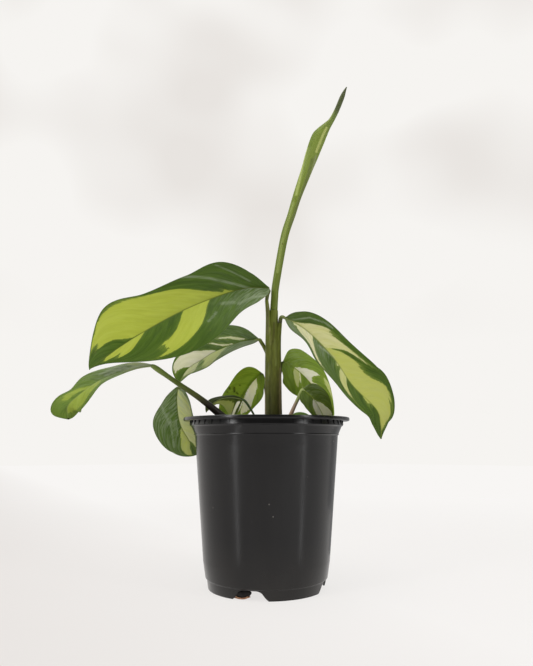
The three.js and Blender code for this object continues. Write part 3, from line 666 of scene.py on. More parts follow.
# Each: dark green and its two lighter tones, middle green, lime and its lighter tone, cream,
# underside and midrib, how much light passes through, and how many millimetres it spreads
BLADE_SKINS = {
    "mature_blade": (("#3c5418", "#4a641d", "#647d2c"), "#7f9036", ("#a9b342", "#b5bf4f"),
                     "#cecbb4", "#9aa37c", "#5c6a28", 0.15, 1),
    "arching_blade": (("#516920", "#607a29", "#7b903a"), "#7c8d3a", ("#8a9a38", "#97a743"),
                      "#d3cfae", "#9aa37c", "#7d8a46", 0.15, 1),
    "young_blade": (("#3b521a", "#49621f", "#63752f"), "#84943f", ("#a6ad42", "#b2b650"),
                    "#e6debc", "#a3ab80", "#7f8b3a", 0.15, 1),
    # Copies painted brighter, as painted light that stands for light through blades in shade
    "sheltered_blade": (("#5a7026", "#6b822e", "#86963c"), "#93a43a", ("#b4bf48", "#c2c758"),
                        "#f0ebdc", "#a3ab80", "#8b9a40", 0.9, 2.5),
    "shaded_blade": (("#5e7326", "#6f8530", "#869543"), "#8b9a3e", ("#9ea650", "#a9b05c"),
                     "#dcd8d0", "#a3ab80", "#8b9a40", 0.8, 2.2),
    # Copies painted darker, as painted shade
    "crowded_blade": (("#445616", "#52651e", "#6c7c31"), "#78863a", ("#969e50", "#a0a75a"),
                      "#d2cfc2", "#a3ab80", "#8b9a40", 0.6, 1.8),
    "dark_young_blade": (("#212c04", "#2b3706", "#3b480b"), "#66761a", ("#828c34", "#8d963e"),
                         "#e2dfc6", "#a3ab80", "#8a935a", 0.3, 1.5),
}
BLADES = {name: living_blade(name, *looks) for name, looks in BLADE_SKINS.items()}


# A leaf stalk: a smooth ribbed skin, with colour that changes along it from a brown sheath
# to green tissue. To the eye it has fine lengthwise streaks and a soft waxy gloss.
STREAK_WIDTH = 0.909
STREAK_LENGTH = 9.09


def ribbed_stalk(name, streak, roughness):
    material, tree = new_material(name)
    skin = add(tree, "Attribute", attribute_name="skin", gives="Color")
    around, along = (
        add(tree, "Math", (add(tree, "Attribute", attribute_name=key), size), operation="DIVIDE")
        for key, size in (("around", STREAK_WIDTH), ("along", STREAK_LENGTH))
    )
    place = add(tree, "CombineXYZ", (around, along))
    noise = add(tree, "TexNoise", {"Vector": place, "Scale": 1.0, "Detail": 3.0})
    shade = add(tree, "MapRange", (noise, 0.3, 0.7, 1 - streak, 1 + streak))
    colour = add(tree, "HueSaturation", {"Color": skin, "Value": shade})
    surface = {"Base Color": colour, "Roughness": roughness, "IOR": 1.42, "Specular IOR Level": 0.3}
    finish_material(tree, surface, noise, 0.35)
    return material


STALK_SKIN = ribbed_stalk("green_stalk", 0.16, 0.42)
SHEATH_SKIN = ribbed_stalk("sheathed_stem", 0.2, 0.5)
ROLLED_SKIN = ribbed_stalk("rolled_blade", 0.07, 0.4)


# Black polypropylene, injection-moulded: a dull satin skin with faint flow marks down the
# wall, dust that clings near the foot, and a few pale scuffs. Sizes are in millimetres.
FLOW_MARK = 11.11
FLOW_STRETCH = 0.08
DUST_CLOUD = 33.3
MOULD_GRAIN = 1.11
SCUFF_SPACING = 16.13
DUST_HEIGHT = 50


def black_polypropylene():
    material, tree = new_material("moulded_black_polypropylene")
    place = add(tree, "TexCoord")
    flow = add(tree, "Mapping", {"Vector": place, "Scale": (1, 1, FLOW_STRETCH)})
    marks = add(tree, "TexNoise", {"Vector": flow, "Scale": cells(FLOW_MARK), "Detail": 3.0})
    cloud = add(tree, "TexNoise", {"Vector": place, "Scale": cells(DUST_CLOUD), "Detail": 2.0})
    grain = add(tree, "TexNoise", {"Vector": place, "Scale": cells(MOULD_GRAIN), "Detail": 1.0})
    scuff = add(tree, "TexVoronoi", {"Vector": place, "Scale": cells(SCUFF_SPACING)})
    height = add(tree, "SeparateXYZ", (place,), gives="Z")
    low = add(tree, "MapRange", (height, 0.0, DUST_HEIGHT * MM, 0.14, 0.0))
    dust = add(tree, "Math", (low, cloud), operation="MULTIPLY")
    fleck = add(tree, "MapRange", (scuff, 0.025, 0.05, 0.5, 0.0))
    gloss = add(tree, "MapRange", (cloud, 0.3, 0.7, 0.19, 0.25))
    plastic = add(tree, "ValToRGB", (marks,), [(0.3, "#0d0c0d"), (0.7, "#131213")])
    dusty = add(tree, "Mix", {0: dust, 6: plastic, 7: "#6b645b"}, data_type="RGBA")
    flecked = add(tree, "Mix", {0: fleck, 6: dusty, 7: "#8a8580"}, data_type="RGBA")
    surface = {"Base Color": flecked, "Roughness": gloss, "IOR": 1.49, "Specular IOR Level": 0.36}
    finish_material(tree, surface, grain, 0.03)
    return material


# Peat and bark potting mix: matt, dark and damp, broken into crumbs of 1 to 3 mm. Its bark,
# perlite and dry roots have the same broken skin in their own colours and grain sizes.
def crumbly(name, dark, light, grain, roughness):
    material, tree = new_material(name)
    place = add(tree, "TexCoord")
    crumbs = add(tree, "TexNoise", {"Vector": place, "Scale": cells(grain), "Detail": 6.0})
    colour = add(tree, "ValToRGB", (crumbs,), [(0.35, dark), (0.7, light)])
    finish_material(tree, {"Base Color": colour, "Roughness": roughness}, crumbs, 0.8)
    return material


BLACK_PLASTIC = black_polypropylene()
POTTING_MIX = crumbly("peat_mix", "#1d1510", "#46352a", 2.38, 0.95)
BARK = crumbly("bark_chips", "#3a281b", "#7c5c40", 3.85, 0.85)
PERLITE = crumbly("perlite", "#cfccc4", "#f1efe9", 1.667, 0.9)
# Near-black mix for the front notch, painted as painted shade inside it
NOTCH_SHADE_MIX = crumbly("peat_in_painted_shade", "#070504", "#140e0b", 2.38, 0.9)
DRY_ROOT = crumbly("dry_root", "#7c5238", "#b98a68", 2, 0.8)


# Blades

def half_width(widths, roundness, s):
    widest = roundness / (roundness + TIP_SHARPNESS)
    full = widest ** roundness * (1 - widest) ** TIP_SHARPNESS
    outline = s ** roundness * (1 - s) ** TIP_SHARPNESS / full
    fullness = through([(width,) for width in widths], s)[..., 0]
    least = BASE_HALF_WIDTH + (TIP_HALF_WIDTH - BASE_HALF_WIDTH) * s
    return np.maximum(fullness * outline, least)


def blade_half(leaf, side, s, v, width):
    """Distance across and height above the midrib, a share v of the way out to the margin."""
    fold = np.radians(base_middle_tip(leaf["fold"][side], s))
    curl = math.radians(leaf["curl"][side])
    if abs(curl) > 1e-4:
        out = (np.sin(fold + curl * v) - np.sin(fold)) / curl
        up = (np.cos(fold) - np.cos(fold + curl * v)) / curl
    else:
        out = v * np.cos(fold)
        up = v * np.sin(fold)
    height, count, start = leaf["wave"]
    turn = count * s + start + (0.25 if side == "left" else 0)
    wave = height * np.sin(2 * np.pi * turn) * np.sqrt(np.maximum(np.sin(np.pi * s), 0))
    return width * out, width * up + wave * v * v


def inside_distance(places, outline):
    """Distance to a closed outline of (x, y), positive inside it."""
    start = np.asarray(outline)
    end = np.roll(start, -1, axis=0)
    edge = end - start
    distance = edge_distance(places, start, end)
    crosses = (start[None, :, 1] > places[:, None, 1]) != (end[None, :, 1] > places[:, None, 1])
    rise = np.where(np.abs(edge[:, 1]) < 1e-12, 1e-12, edge[:, 1])
    at = start[None, :, 0] + (places[:, None, 1] - start[None, :, 1]) * edge[:, 0] / rise
    inside = (crosses & (places[:, None, 0] < at)).sum(1) % 2 == 1
    return np.where(inside, distance, -distance)


# Distances along the veins count for less than across them, so that ends fray the most
ALONG_VEINS = 0.45
PAST_RIB = -0.2
EDGE_STEPS = 6


def vein_lag(leaf, v):
    """How far a vein has run towards the tip where it is a share v out to the margin."""
    straight, late = leaf["veins"]
    return straight * v + late * v ** 4


def patch_values(leaf, side, start, v, length, width):
    """Distance inside the nearest patch, and how pale that patch is."""
    reach = ALONG_VEINS * width
    places = np.stack([start * length, v * reach], -1).reshape(-1, 2)
    nearest = np.full(len(places), -99.0)
    pale = np.zeros(len(places))
    for paleness, corners in leaf["patches"][side]:
        steps = np.linspace(0, 1, EDGE_STEPS, endpoint=False)[:, None]
        corners = np.array(corners) / 100
        edges = [a + (b - a) * steps for a, b in zip(corners, np.roll(corners, -1, axis=0))]
        outline = np.vstack(edges)
        outline[:, 0] -= vein_lag(leaf, outline[:, 1])
        outline[:, 1] = np.where(outline[:, 1] <= 0, PAST_RIB, outline[:, 1])
        distance = inside_distance(places, outline * (length, reach))
        pale = np.where(distance > nearest, paleness, pale)
        nearest = np.maximum(nearest, distance)
    return nearest.reshape(v.shape), pale.reshape(v.shape)


def blade_sheet(leaf):
    """A blade's upper face from base to tip and left margin to right, its normals, and values."""
    rows = round(even_steps(leaf["midrib"], 2)[1] / ROW_STEP)
    t, length = even_steps(leaf["midrib"], rows)
    s = np.linspace(0, 1, rows)[:, None]
    widest = max(half_width(leaf[side], leaf["roundness"], s).max() for side in ("left", "right"))
    columns = int(np.clip(widest / COLUMN_STEP, *HALF_COLUMNS))
    centre = through(leaf["midrib"], t)[:, None]
    along = tangents(leaf["midrib"], t)[:, None]
    facing = np.stack([base_middle_tip([f[k] for f in leaf["facing"]], s) for k in range(3)], -1)
    up = unit(facing - (facing * along).sum(-1, keepdims=True) * along)
    right = np.cross(along, up)
    share = (np.arange(columns + 1) / columns) ** COLUMN_CROWDING
    halves = []
    for side, sign, v in (("left", -1, share[:0:-1]), ("right", 1, share)):
        width = half_width(leaf[side], leaf["roundness"], s)
        out, rise = blade_half(leaf, side, s, v[None], width)
        points = centre + sign * out[..., None] * right + rise[..., None] * up
        # The painted sheen of this half, strongest at the base
        most, fading = leaf["bloom"][side]
        start = s - vein_lag(leaf, v[None])
        shares = np.broadcast_to(v, out.shape)
        patch, pale = patch_values(leaf, side, start, shares, length, width.max())
        values = {
            "vein": start * length + (0 if side == "left" else 500),
            "out": v * width,
            "edge": np.minimum((1 - v) * width, (1 - s) * length),
            "patch": patch,
            "pale": pale,
            "bloom": most * np.exp(-(s / fading) ** 2),
        }
        halves.append((points, {key: np.broadcast_to(n, out.shape) for key, n in values.items()}))
    points = np.concatenate([half[0] for half in halves], 1)
    values = {key: np.concatenate([half[1][key] for half in halves], 1) for key in halves[0][1]}
    normals = unit(np.cross(np.gradient(points, axis=1), np.gradient(points, axis=0)))
    return points, normals, values, s


def strongest(points, strokes):
    """The share of the strongest of the strokes (share, half width, line) at each point."""
    share = np.zeros(len(points))
    for most, reach, line in strokes:
        share = np.maximum(share, most * stroke(points, reach, line))
    return share


def relief(values, s):
    """How far pleats and puckers lift a blade, which is calm at its rib, margins and ends."""
    vein, out = values["vein"], values["out"]
    pleats = PLEAT_HEIGHT * np.sin(2 * np.pi * vein / PLEAT_SPACING)
    drift = PUCKER_SWAY * np.sin(out / PUCKER_DRIFT)
    pucker = PUCKER_HEIGHT * np.sin(vein / PUCKER_ALONG + drift) * np.sin(out / PUCKER_ACROSS + 1)
    calm = np.sin(np.pi * s) ** 0.5 * smooth_step(0, CALM_BY_RIB, out)
    return calm * smooth_step(0, CALM_BY_MARGIN, values["edge"]) * (pleats + pucker)


def blade_piece(name, leaf):
    sheet, normals, values, s = blade_sheet(leaf)
    rows, columns = sheet.shape[:2]
    out = values["out"]
    lift = relief(values, np.clip(s, 0, 1))
    channel = CHANNEL_DEPTH * (1 - RIB_SLIMMING * s) * np.exp(-(out / CHANNEL_REACH) ** 2)
    keel = KEEL_DEPTH * (1 - RIB_SLIMMING * s) * np.exp(-(out / KEEL_REACH) ** 2)
    upper = sheet + normals * (lift - channel)[..., None]
    lower = sheet + normals * (lift - BLADE_THICK - keel)[..., None]
    faces = []
    for i, j in itertools.product(range(rows - 1), range(columns - 1)):
        a = i * columns + j
        corners = (a, a + 1, a + columns + 1, a + columns)
        faces.append(corners)
        faces.append(tuple(rows * columns + corner for corner in reversed(corners)))
    border = [(0, j) for j in range(columns)]
    border += [(i, columns - 1) for i in range(1, rows)]
    border += [(rows - 1, j) for j in range(columns - 2, -1, -1)]
    border += [(i, 0) for i in range(rows - 2, 0, -1)]
    around = [i * columns + j for i, j in border]
    for a, b in zip(around, around[1:] + around[:1]):
        faces.append((b, a, rows * columns + a, rows * columns + b))
    both = {key: np.tile(numbers.ravel(), 2) for key, numbers in values.items()}
    both["below"] = np.repeat([0.0, 1.0], rows * columns)
    both["scar"] = np.tile(strongest(sheet.reshape(-1, 3), leaf["scars"]), 2)
    # Painted highlights along folds
    both["sheen"] = np.tile(strongest(sheet.reshape(-1, 3), leaf["sheens"]), 2)
    both["turn"] = np.full(2 * rows * columns, float(len(name)))
    points = np.concatenate([upper.reshape(-1, 3), lower.reshape(-1, 3)])
    make_piece(f"{name}_blade", name, "leaf", points, faces, [BLADES[leaf["skin"]]], both, sharp=60)


# Stalks: each is round, thickens a little into a joint just below its blade, and takes its
# colours from its root end to its blade
STALK_SIDES = 20
STALK_RING_STEP = 1.2
JOINT_SWELL = 0.22
JOINT_REACH = 7
STALK_OVERLAP = 0.05
STALK_END = 1.1


def skin_along(stops, share):
    """Linear colours between stops of (share along, hex colour), for an array of shares."""
    places = [place for place, _ in stops]
    colours = np.array([to_linear(colour) for _, colour in stops])
    return np.stack([np.interp(share, places, colours[:, k]) for k in range(4)], -1)


def painted_over(skin, points, strokes):
    """Linear colours with soft strokes over them, each (colour, half width, share, line)."""
    for colour, reach, most, line in strokes:
        share = most * stroke(points, reach, line)[:, None]
        skin = skin + share * (np.array(to_linear(colour)) - skin)
    return skin


def tube_values(rings, sides, length, stops):
    """A tube's colours from end to end, and where it is in its streaks, in millimetres."""
    share = np.repeat(np.linspace(0, 1, rings), sides)
    angle = np.tile(np.linspace(0, 2 * np.pi, sides, endpoint=False), rings)
    return {
        "skin": skin_along(stops, share),
        "around": 6 + 2 * np.sin(angle) + 3.4 * np.cos(angle),
        "along": share * length,
    }


def stalk_piece(name, leaf):
    foot = through(leaf["midrib"], STALK_OVERLAP) - np.array(leaf["facing"][0])
    line = [(x, y, z, 2 * r, 2 * r) for x, y, z, r in leaf["stalk"]]
    end = STALK_END * leaf["stalk"][-1][3]
    line.append((*foot, end, end))
    rings = max(8, round(even_steps(line, 2)[1] / STALK_RING_STEP))
    points, length = oval_rings(line, rings, STALK_SIDES)
    centre = points.mean(1, keepdims=True)
    from_end = length * (1 - np.linspace(0, 1, rings))[:, None, None]
    swell = 1 + JOINT_SWELL * np.exp(-((from_end - 1.2 * JOINT_REACH) / JOINT_REACH) ** 2)
    points = (centre + (points - centre) * swell).reshape(-1, 3)
    values = tube_values(rings, STALK_SIDES, length, leaf["stalk_colours"])
    faces = ring_faces(rings, STALK_SIDES)
    make_piece(f"{name}_stalk", name, "stalk", points, faces, [STALK_SKIN], values)


for leaf_name, leaf_values in LEAVES.items():
    blade_piece(leaf_name, leaf_values)
    stalk_piece(leaf_name, leaf_values)


# The pseudostem: stalks that sheathe each other, as (x, y, z, width, depth) in millimetres
SHEATHS = [
    [(7, 0, 122, 17.6, 15), (7, 0, 160, 17.6, 15), (6.6, 0, 205, 16.2, 14), (6.6, 0, 232, 15, 12),
     (7, 0, 252, 10.6, 9.4), (7.6, 0, 269.6, 8.6, 7.8)],
    [(3, -2, 130, 9, 10), (2.6, -2, 200, 8.4, 10), (2, -2, 240, 6.2, 8), (1.6, -1.8, 264, 4.8, 5.4),
     (0.2, -1.6, 280, 3.6, 3.6)],
    [(12, -1, 130, 8, 9), (11.8, -1, 200, 6.8, 9), (12.2, -1, 236, 5.4, 7), (14, -1.8, 256, 4, 4)],
    [(4, 1, 200, 5, 5), (1.6, 2, 222, 4.4, 4.4), (-3.4, 4.6, 234, 3.8, 3.8)],
]
SHEATH_SIDES = 40
SHEATH_RING_STEP = 1.5
# Colours from foot to top, darker towards the foot: partly the sheaths' own colour, partly painted shade
# inside the rim
STEM_COLOURS = [(0, "#2f2b12"), (0.2, "#3a3813"), (0.3, "#454719"), (0.4, "#4f531c"),
                (0.52, "#5e6423"), (0.66, "#686f2a"), (0.82, "#6a732c"), (1, "#737d31")]
# Sheath margins that have dried brown, and streaks: (colour, half width, share, line of (x, z))
STEM_STROKES = [
    ("#7d7a52", 1, 0.75, [(1, 274), (1.4, 256), (1.2, 244)]),
    ("#828449", 0.8, 0.8, [(3.6, 251), (4, 233)]),
    ("#767f3c", 1.2, 0.7, [(8.2, 238), (9.2, 225), (9.6, 212)]),
    ("#4c4a1c", 1.2, 0.7, [(7.8, 256), (7.4, 246), (6.6, 236)]),
    ("#3a3c14", 0.7, 0.5, [(6, 236), (5, 215), (4.6, 190)]),
    ("#6f7546", 0.6, 0.7, [(2.2, 214), (2, 196)]),
    ("#32350f", 0.6, 0.5, [(3.2, 200), (3.4, 176), (3.6, 165)]),
    ("#85795a", 0.9, 0.85, [(-1.9, 213), (-2.1, 192), (-1.6, 176), (-0.8, 160)]),
    ("#7f7350", 1.1, 0.9, [(14.2, 209), (13.8, 192), (13.6, 160)]),
    ("#a09672", 0.6, 0.8, [(15, 200), (15.2, 186), (15, 168)]),
    ("#4d3f24", 1, 0.35, [(11.6, 206), (11.4, 190), (11.6, 170)]),
]
STEM_FOOT = 122
STEM_TOP = 280
STEM_X = 7


def pseudostem():
    solids = []
    for index, line in enumerate(SHEATHS):
        rings = round(even_steps(line, 2)[1] / SHEATH_RING_STEP)
        points, _ = oval_rings(line, rings, SHEATH_SIDES)
        solids.append((f"sheath_{index}", "UNION", (points, ring_faces(rings, SHEATH_SIDES))))
    points, faces = joined(solids)
    height = points[:, 2]
    share = (height - STEM_FOOT) / (STEM_TOP - STEM_FOOT)
    angle = np.arctan2(points[:, 1], points[:, 0] - STEM_X)
    values = {
        "skin": painted_over(skin_along(STEM_COLOURS, share), points, STEM_STROKES),
        "around": 6 + 4 * np.sin(angle) + 6.4 * np.cos(angle),
        "along": height,
    }
    make_piece("stem_sheaths", "pseudostem", "stalk", points, faces, [SHEATH_SKIN], values, sharp=35)


pseudostem()


# The new leaf: one blade, still rolled, as (x, y, z, width, depth) from its stalk to its tip
NEW_LEAF = [
    (7.6, 0, 270, 7.8, 7), (8.4, 0, 283, 7.6, 6.8), (9.8, 0, 298, 7.8, 6.8), (18.5, -2, 347, 8.2, 7),
    (26.6, -4, 373, 8.6, 7.4), (32.7, -6, 393, 9.6, 8.4), (42.6, -9, 421, 12.8, 10),
    (48.1, -11, 437, 15.4, 11), (54.8, -13, 455, 16.8, 10.4), (59.1, -14, 462, 14.4, 8.6),
    (64.3, -15, 468.5, 9.8, 7), (69.6, -16, 475, 6.4, 6), (75.3, -17, 486, 5.8, 5.6),
    (81.1, -19, 500, 5.4, 5), (84.1, -20, 507, 3, 2.8), (86.2, -20.5, 511.2, 0.9, 0.9),
]
ROLL_SIDES = 80
ROLL_RING_STEP = 0.8
ROLL_STEP = 0.12
ROLL_STARTS = 0.45
ROLL_SEAM = -0.14
ROLL_COLOURS = [(0, "#67762a"), (0.12, "#66752a"), (0.3, "#66762a"), (0.5, "#788837"),
                (0.62, "#7c8d3f"), (0.78, "#768639"), (0.86, "#68793a"), (0.89, "#4f5934"), (1, "#4c5230")]
# The roll's own patches, folds and pale margins: (colour, half width, share, line of (x, z))
ROLL_STROKES = [
    ("#8f9d55", 1.6, 0.7, [(11.5, 310), (16, 340), (22, 362), (28.5, 384)]),
    ("#a2af60", 1.5, 0.9, [(42.6, 444), (38.2, 426), (35.2, 409), (31.6, 393)]),
    ("#687339", 1.8, 0.9, [(48.5, 430), (46, 420), (41.6, 406), (37.8, 395), (33, 382), (25, 360)]),
    ("#8a9068", 0.8, 0.8, [(52.5, 434), (48.6, 420), (43.8, 404)]),
    ("#6a7d26", 2.4, 0.9, [(46.5, 446), (48.6, 455), (53.6, 463)]),
    ("#788a34", 2.4, 0.8, [(56, 464), (59, 462)]),
    ("#b0b76c", 1.3, 0.9, [(64, 465), (60.4, 458), (57, 449), (53, 439)]),
    ("#7f8c42", 1.2, 0.8, [(62, 469), (68, 476), (72, 485)]),
    ("#5b4a2a", 0.5, 0.8, [(16.6, 340.6), (16.9, 339.6)]),
]


def new_leaf():
    rings = round(even_steps(NEW_LEAF, 2)[1] / ROLL_RING_STEP)
    share = np.linspace(0, 1, rings)[:, None]
    opened = np.clip((share - ROLL_STARTS) / (1 - ROLL_STARTS), 0, 1)
    step = ROLL_STEP * np.minimum(1, 3 * opened)
    reach = 1 - step * smooth_step(0, 0.5, np.arange(ROLL_SIDES) / ROLL_SIDES)
    points, length = oval_rings(NEW_LEAF, rings, ROLL_SIDES, ROLL_SEAM, reach)
    points = points.reshape(-1, 3)
    faces = ring_faces(rings, ROLL_SIDES)
    values = tube_values(rings, ROLL_SIDES, length, ROLL_COLOURS)
    values["skin"] = painted_over(values["skin"], points, ROLL_STROKES)
    make_piece("rolled_new_leaf", "new_leaf", "rolled_leaf", points, faces, [ROLLED_SKIN], values, sharp=50)


new_leaf()


# The pot, from the same measures as its solid
RIM_RADIUS = 82.5
POT_HEIGHT = 159.5
RIM_THICK = 3.6
POT_WALL = 1.6
BEAD_RADIUS = 76
BEAD_LOW = 151.4
BEAD_HIGH = 152.6
COLLAR_TOP_RADIUS = 74.5
COLLAR_TOP = 150.4
COLLAR_LOW_RADIUS = 71.5
COLLAR_LOW = 142.5
COLLAR_STEP = 0.7
COLLAR_BEAD = 0.3
BEAD_STARTS = 0.2
BEAD_FADES = 0.8
BEAD_ENDS = 1.2
SHOULDER_RADIUS = 69.9
SHOULDER = 131
WAIST_RADIUS = 60.8
WAIST = 25
FOOT_RADIUS = 55.7
FOOT_TOP_RADIUS = 57
FOOT_HEIGHT = 9.5
FOOT_STEP = 1.4
FLOOR_UNDERSIDE = 6
FLOOR_THICK = 1.8
FLOOR_TOP = FLOOR_UNDERSIDE + FLOOR_THICK
GATE_PAD_RADIUS = 15
GATE_PAD_SLOPE = 2
RIM_UNDERSIDE = POT_HEIGHT - RIM_THICK
INNER_COLLAR_RADIUS = COLLAR_LOW_RADIUS - COLLAR_STEP - POT_WALL
INNER_FLOOR_RADIUS = FOOT_TOP_RADIUS - POT_WALL
POT_SEGMENTS = 288
STEP_SLOPE = 0.5
EDGE_ROUNDING = 0.35
RIM_ROUNDING = 1.2
ROUNDING_SHARE = 0.4

# Ribs below the rim, and the drainage notches through the foot
RIM_RIBS = 48
RIB_THICK = 0.9
RIB_REACH = 0.4
RIB_ROOT = 0.6
RIB_SUNK = 1.5
NOTCH_COUNT = 4
NOTCH_FIRST_ANGLE = -105
NOTCH_WIDTH = 34
NOTCH_TOP_WIDTH = 17
NOTCH_HEIGHT = 8.6
NOTCH_REACH = 15
NOTCH_CLEAR = 5
NOTCH_BELOW = 1
NOTCH_ROUNDING = 3.5

POT_PROFILE = [
    (0, 0), (GATE_PAD_RADIUS, 0), (GATE_PAD_RADIUS + GATE_PAD_SLOPE, FLOOR_UNDERSIDE),
    (FOOT_RADIUS - POT_WALL, FLOOR_UNDERSIDE), (FOOT_RADIUS - POT_WALL, 0),
    (FOOT_RADIUS, 0), (FOOT_TOP_RADIUS, FOOT_HEIGHT - STEP_SLOPE),
    (FOOT_TOP_RADIUS + FOOT_STEP, FOOT_HEIGHT + STEP_SLOPE), (WAIST_RADIUS, WAIST),
    (SHOULDER_RADIUS, SHOULDER),
    (COLLAR_LOW_RADIUS - COLLAR_STEP, COLLAR_LOW - STEP_SLOPE),
    (COLLAR_LOW_RADIUS + COLLAR_BEAD, COLLAR_LOW + BEAD_STARTS),
    (COLLAR_LOW_RADIUS + COLLAR_BEAD, COLLAR_LOW + BEAD_FADES),
    (COLLAR_LOW_RADIUS + 0.1, COLLAR_LOW + BEAD_ENDS), (COLLAR_TOP_RADIUS, COLLAR_TOP),
    (BEAD_RADIUS, BEAD_LOW), (BEAD_RADIUS, BEAD_HIGH),
    (BEAD_RADIUS - COLLAR_STEP, RIM_UNDERSIDE), (RIM_RADIUS, RIM_UNDERSIDE),
    (RIM_RADIUS, POT_HEIGHT), (BEAD_RADIUS - POT_WALL + 0.4, POT_HEIGHT),
    (COLLAR_TOP_RADIUS - POT_WALL, COLLAR_TOP), (INNER_COLLAR_RADIUS, COLLAR_LOW),
    (SHOULDER_RADIUS - POT_WALL, SHOULDER), (WAIST_RADIUS - POT_WALL, WAIST),
    (INNER_FLOOR_RADIUS, FLOOR_TOP), (GATE_PAD_RADIUS + GATE_PAD_SLOPE / 2, FLOOR_TOP),
    (GATE_PAD_RADIUS - GATE_PAD_SLOPE / 2, FLOOR_THICK), (0, FLOOR_THICK),
]


def softened(profile):
    """The profile with each inner corner turned into a small curve of three points."""
    points = [np.array(point, float) for point in profile]
    soft = [points[0]]
    for before, corner, after in zip(points, points[1:], points[2:]):
        rounding = RIM_ROUNDING if corner[0] == RIM_RADIUS else EDGE_ROUNDING
        arms = []
        for other in (before, after):
            arm = other - corner
            size = np.linalg.norm(arm)
            arms.append(corner + arm * min(rounding, ROUNDING_SHARE * size) / size)
        soft += [arms[0], (arms[0] + 2 * corner + arms[1]) / 4, arms[1]]
    return soft + [points[-1]]


def turned(profile, segments):
    """A closed solid of revolution from a profile that starts and ends on the axis."""
    angle = np.linspace(0, 2 * np.pi, segments, endpoint=False)
    points = [(0, 0, profile[0][1])]
    for radius, height in profile[1:-1]:
        points += [(radius * math.cos(a), radius * math.sin(a), height) for a in angle]
    points.append((0, 0, profile[-1][1]))
    faces = []
    rings = len(profile) - 2
    for j in range(segments):
        after = (j + 1) % segments
        faces.append((0, 1 + after, 1 + j))
        for i in range(rings - 1):
            a = 1 + i * segments
            faces.append((a + j, a + after, a + segments + after, a + segments + j))
        a = 1 + (rings - 1) * segments
        faces.append((a + j, a + after, len(points) - 1))
    return points, faces


def turned_about(points, angle):
    """Points turned about the pot's axis by an angle in degrees."""
    c = math.cos(math.radians(angle))
    s = math.sin(math.radians(angle))
    return [(c * x - s * y, s * x + c * y, z) for x, y, z in points]


def prism(outline, near, far):
    """A solid with an outline of (y, z), counter-clockwise from outside, between two radii."""
    count = len(outline)
    points = [(near, y, z) for y, z in outline] + [(far, y, z) for y, z in outline]
    faces = [tuple(range(count - 1, -1, -1)), tuple(range(count, 2 * count))]
    for j in range(count):
        after = (j + 1) % count
        faces.append((j, after, count + after, count + j))
    return points, faces


def ring_of_prisms(outline, near, far, count, first):
    """Prisms between two radii, at even angles about the pot's axis from the first."""
    points, faces = prism(outline, near, far)
    return merged([(turned_about(points, first + 360 * i / count), faces) for i in range(count)])


def rim_ribs():
    low = BEAD_HIGH - RIB_ROOT
    high = RIM_UNDERSIDE + RIB_ROOT
    half = RIB_THICK / 2
    section = [(-half, low), (half, low), (half, high), (-half, high)]
    near, far = BEAD_RADIUS - RIB_SUNK, BEAD_RADIUS + RIB_REACH
    return ring_of_prisms(section, near, far, RIM_RIBS, 180 / RIM_RIBS)


def quadratic(start, control, end, steps):
    """Points along a quadratic curve, without its start."""
    t = np.linspace(0, 1, steps + 1)[1:, None]
    start, control, end = np.array([start, control, end], float)
    curve = (1 - t) ** 2 * start + 2 * t * (1 - t) * control + t * t * end
    return [tuple(point) for point in curve]


def notches():
    foot = NOTCH_WIDTH / 2 + NOTCH_BELOW
    top = NOTCH_TOP_WIDTH / 2
    shoulder = NOTCH_HEIGHT - NOTCH_ROUNDING * 0.6
    bend = top + NOTCH_ROUNDING * 0.7
    end = top - NOTCH_ROUNDING
    right = [(foot, -NOTCH_BELOW)]
    right += quadratic(right[0], (foot - NOTCH_ROUNDING, NOTCH_BELOW), (bend, shoulder), 6)
    right += quadratic((bend, shoulder), (top, NOTCH_HEIGHT), (end, NOTCH_HEIGHT), 8)
    outline = right + [(-y, z) for y, z in reversed(right)]
    near, far = FOOT_RADIUS - NOTCH_REACH, FOOT_RADIUS + NOTCH_CLEAR
    return ring_of_prisms(outline, near, far, NOTCH_COUNT, NOTCH_FIRST_ANGLE)


def nursery_pot():
    points, faces = joined([
        ("shell", None, turned(softened(POT_PROFILE), POT_SEGMENTS)),
        ("ribs", "UNION", rim_ribs()),
        ("notches", "DIFFERENCE", notches()),
    ])
    make_piece("nursery_pot", "pot", "pot_plastic", points, faces, [BLACK_PLASTIC], sharp=32)


nursery_pot()


# The potting mix: a lumpy top, and crumbs, bark chips and perlite pressed into it. Each kind of
# crumb is (how many, smallest and largest size), in the order of the piece's materials.
SOIL_TOP = 143
SOIL_GAP = 0.4
SOIL_SEGMENTS = 160
SOIL_RINGS = 46
SOIL_SETTLES = 6
SOIL_SEED = 11
CRUMBS = [(420, (1.6, 4.4)), (150, (3.6, 8.4)), (70, (1.8, 4))]
CRUMB_INSET = 4
CRUMB_RISE = 0.2
CRUMB_CORNER = 1.9
SOIL_FLOOR_GAP = 0.3
SOIL_EDGE_DROP = 0.5
SOIL_LUMPS = 0.65


def soil_height(x, y):
    """The lumpy top, from waves about 45, 20 and 8 mm long that bend each other."""
    lumps = 1.2 * np.sin(x / 7.1 + 1.3) * np.sin(y / 6.3) + 0.6 * np.sin(x / 2.9 - y / 3.7)
    fine = 0.5 * np.sin(x / 1.3 + 2 * np.sin(y / 1.9)) * np.sin(y / 1.1 + np.sin(x / 2.3))
    return SOIL_TOP + SOIL_LUMPS * (lumps + fine)


def twenty_sided():
    """The corners, about 1 from the middle, and faces of the solid that a crumb starts from."""
    golden = (1 + 5 ** 0.5) / 2
    corners = [(0, a, b * golden) for a in (-1, 1) for b in (-1, 1)]
    corners = np.array([np.roll(corner, k) for corner in corners for k in range(3)])
    faces = []
    for i, j, k in itertools.combinations(range(12), 3):
        a, b, c = corners[[i, j, k]]
        if max(np.linalg.norm([a - b, b - c, c - a], axis=1)) < 2.1:
            outward = np.dot(np.cross(b - a, c - a), a + b + c) > 0
            faces.append((i, j, k) if outward else (i, k, j))
    return corners / CRUMB_CORNER, faces


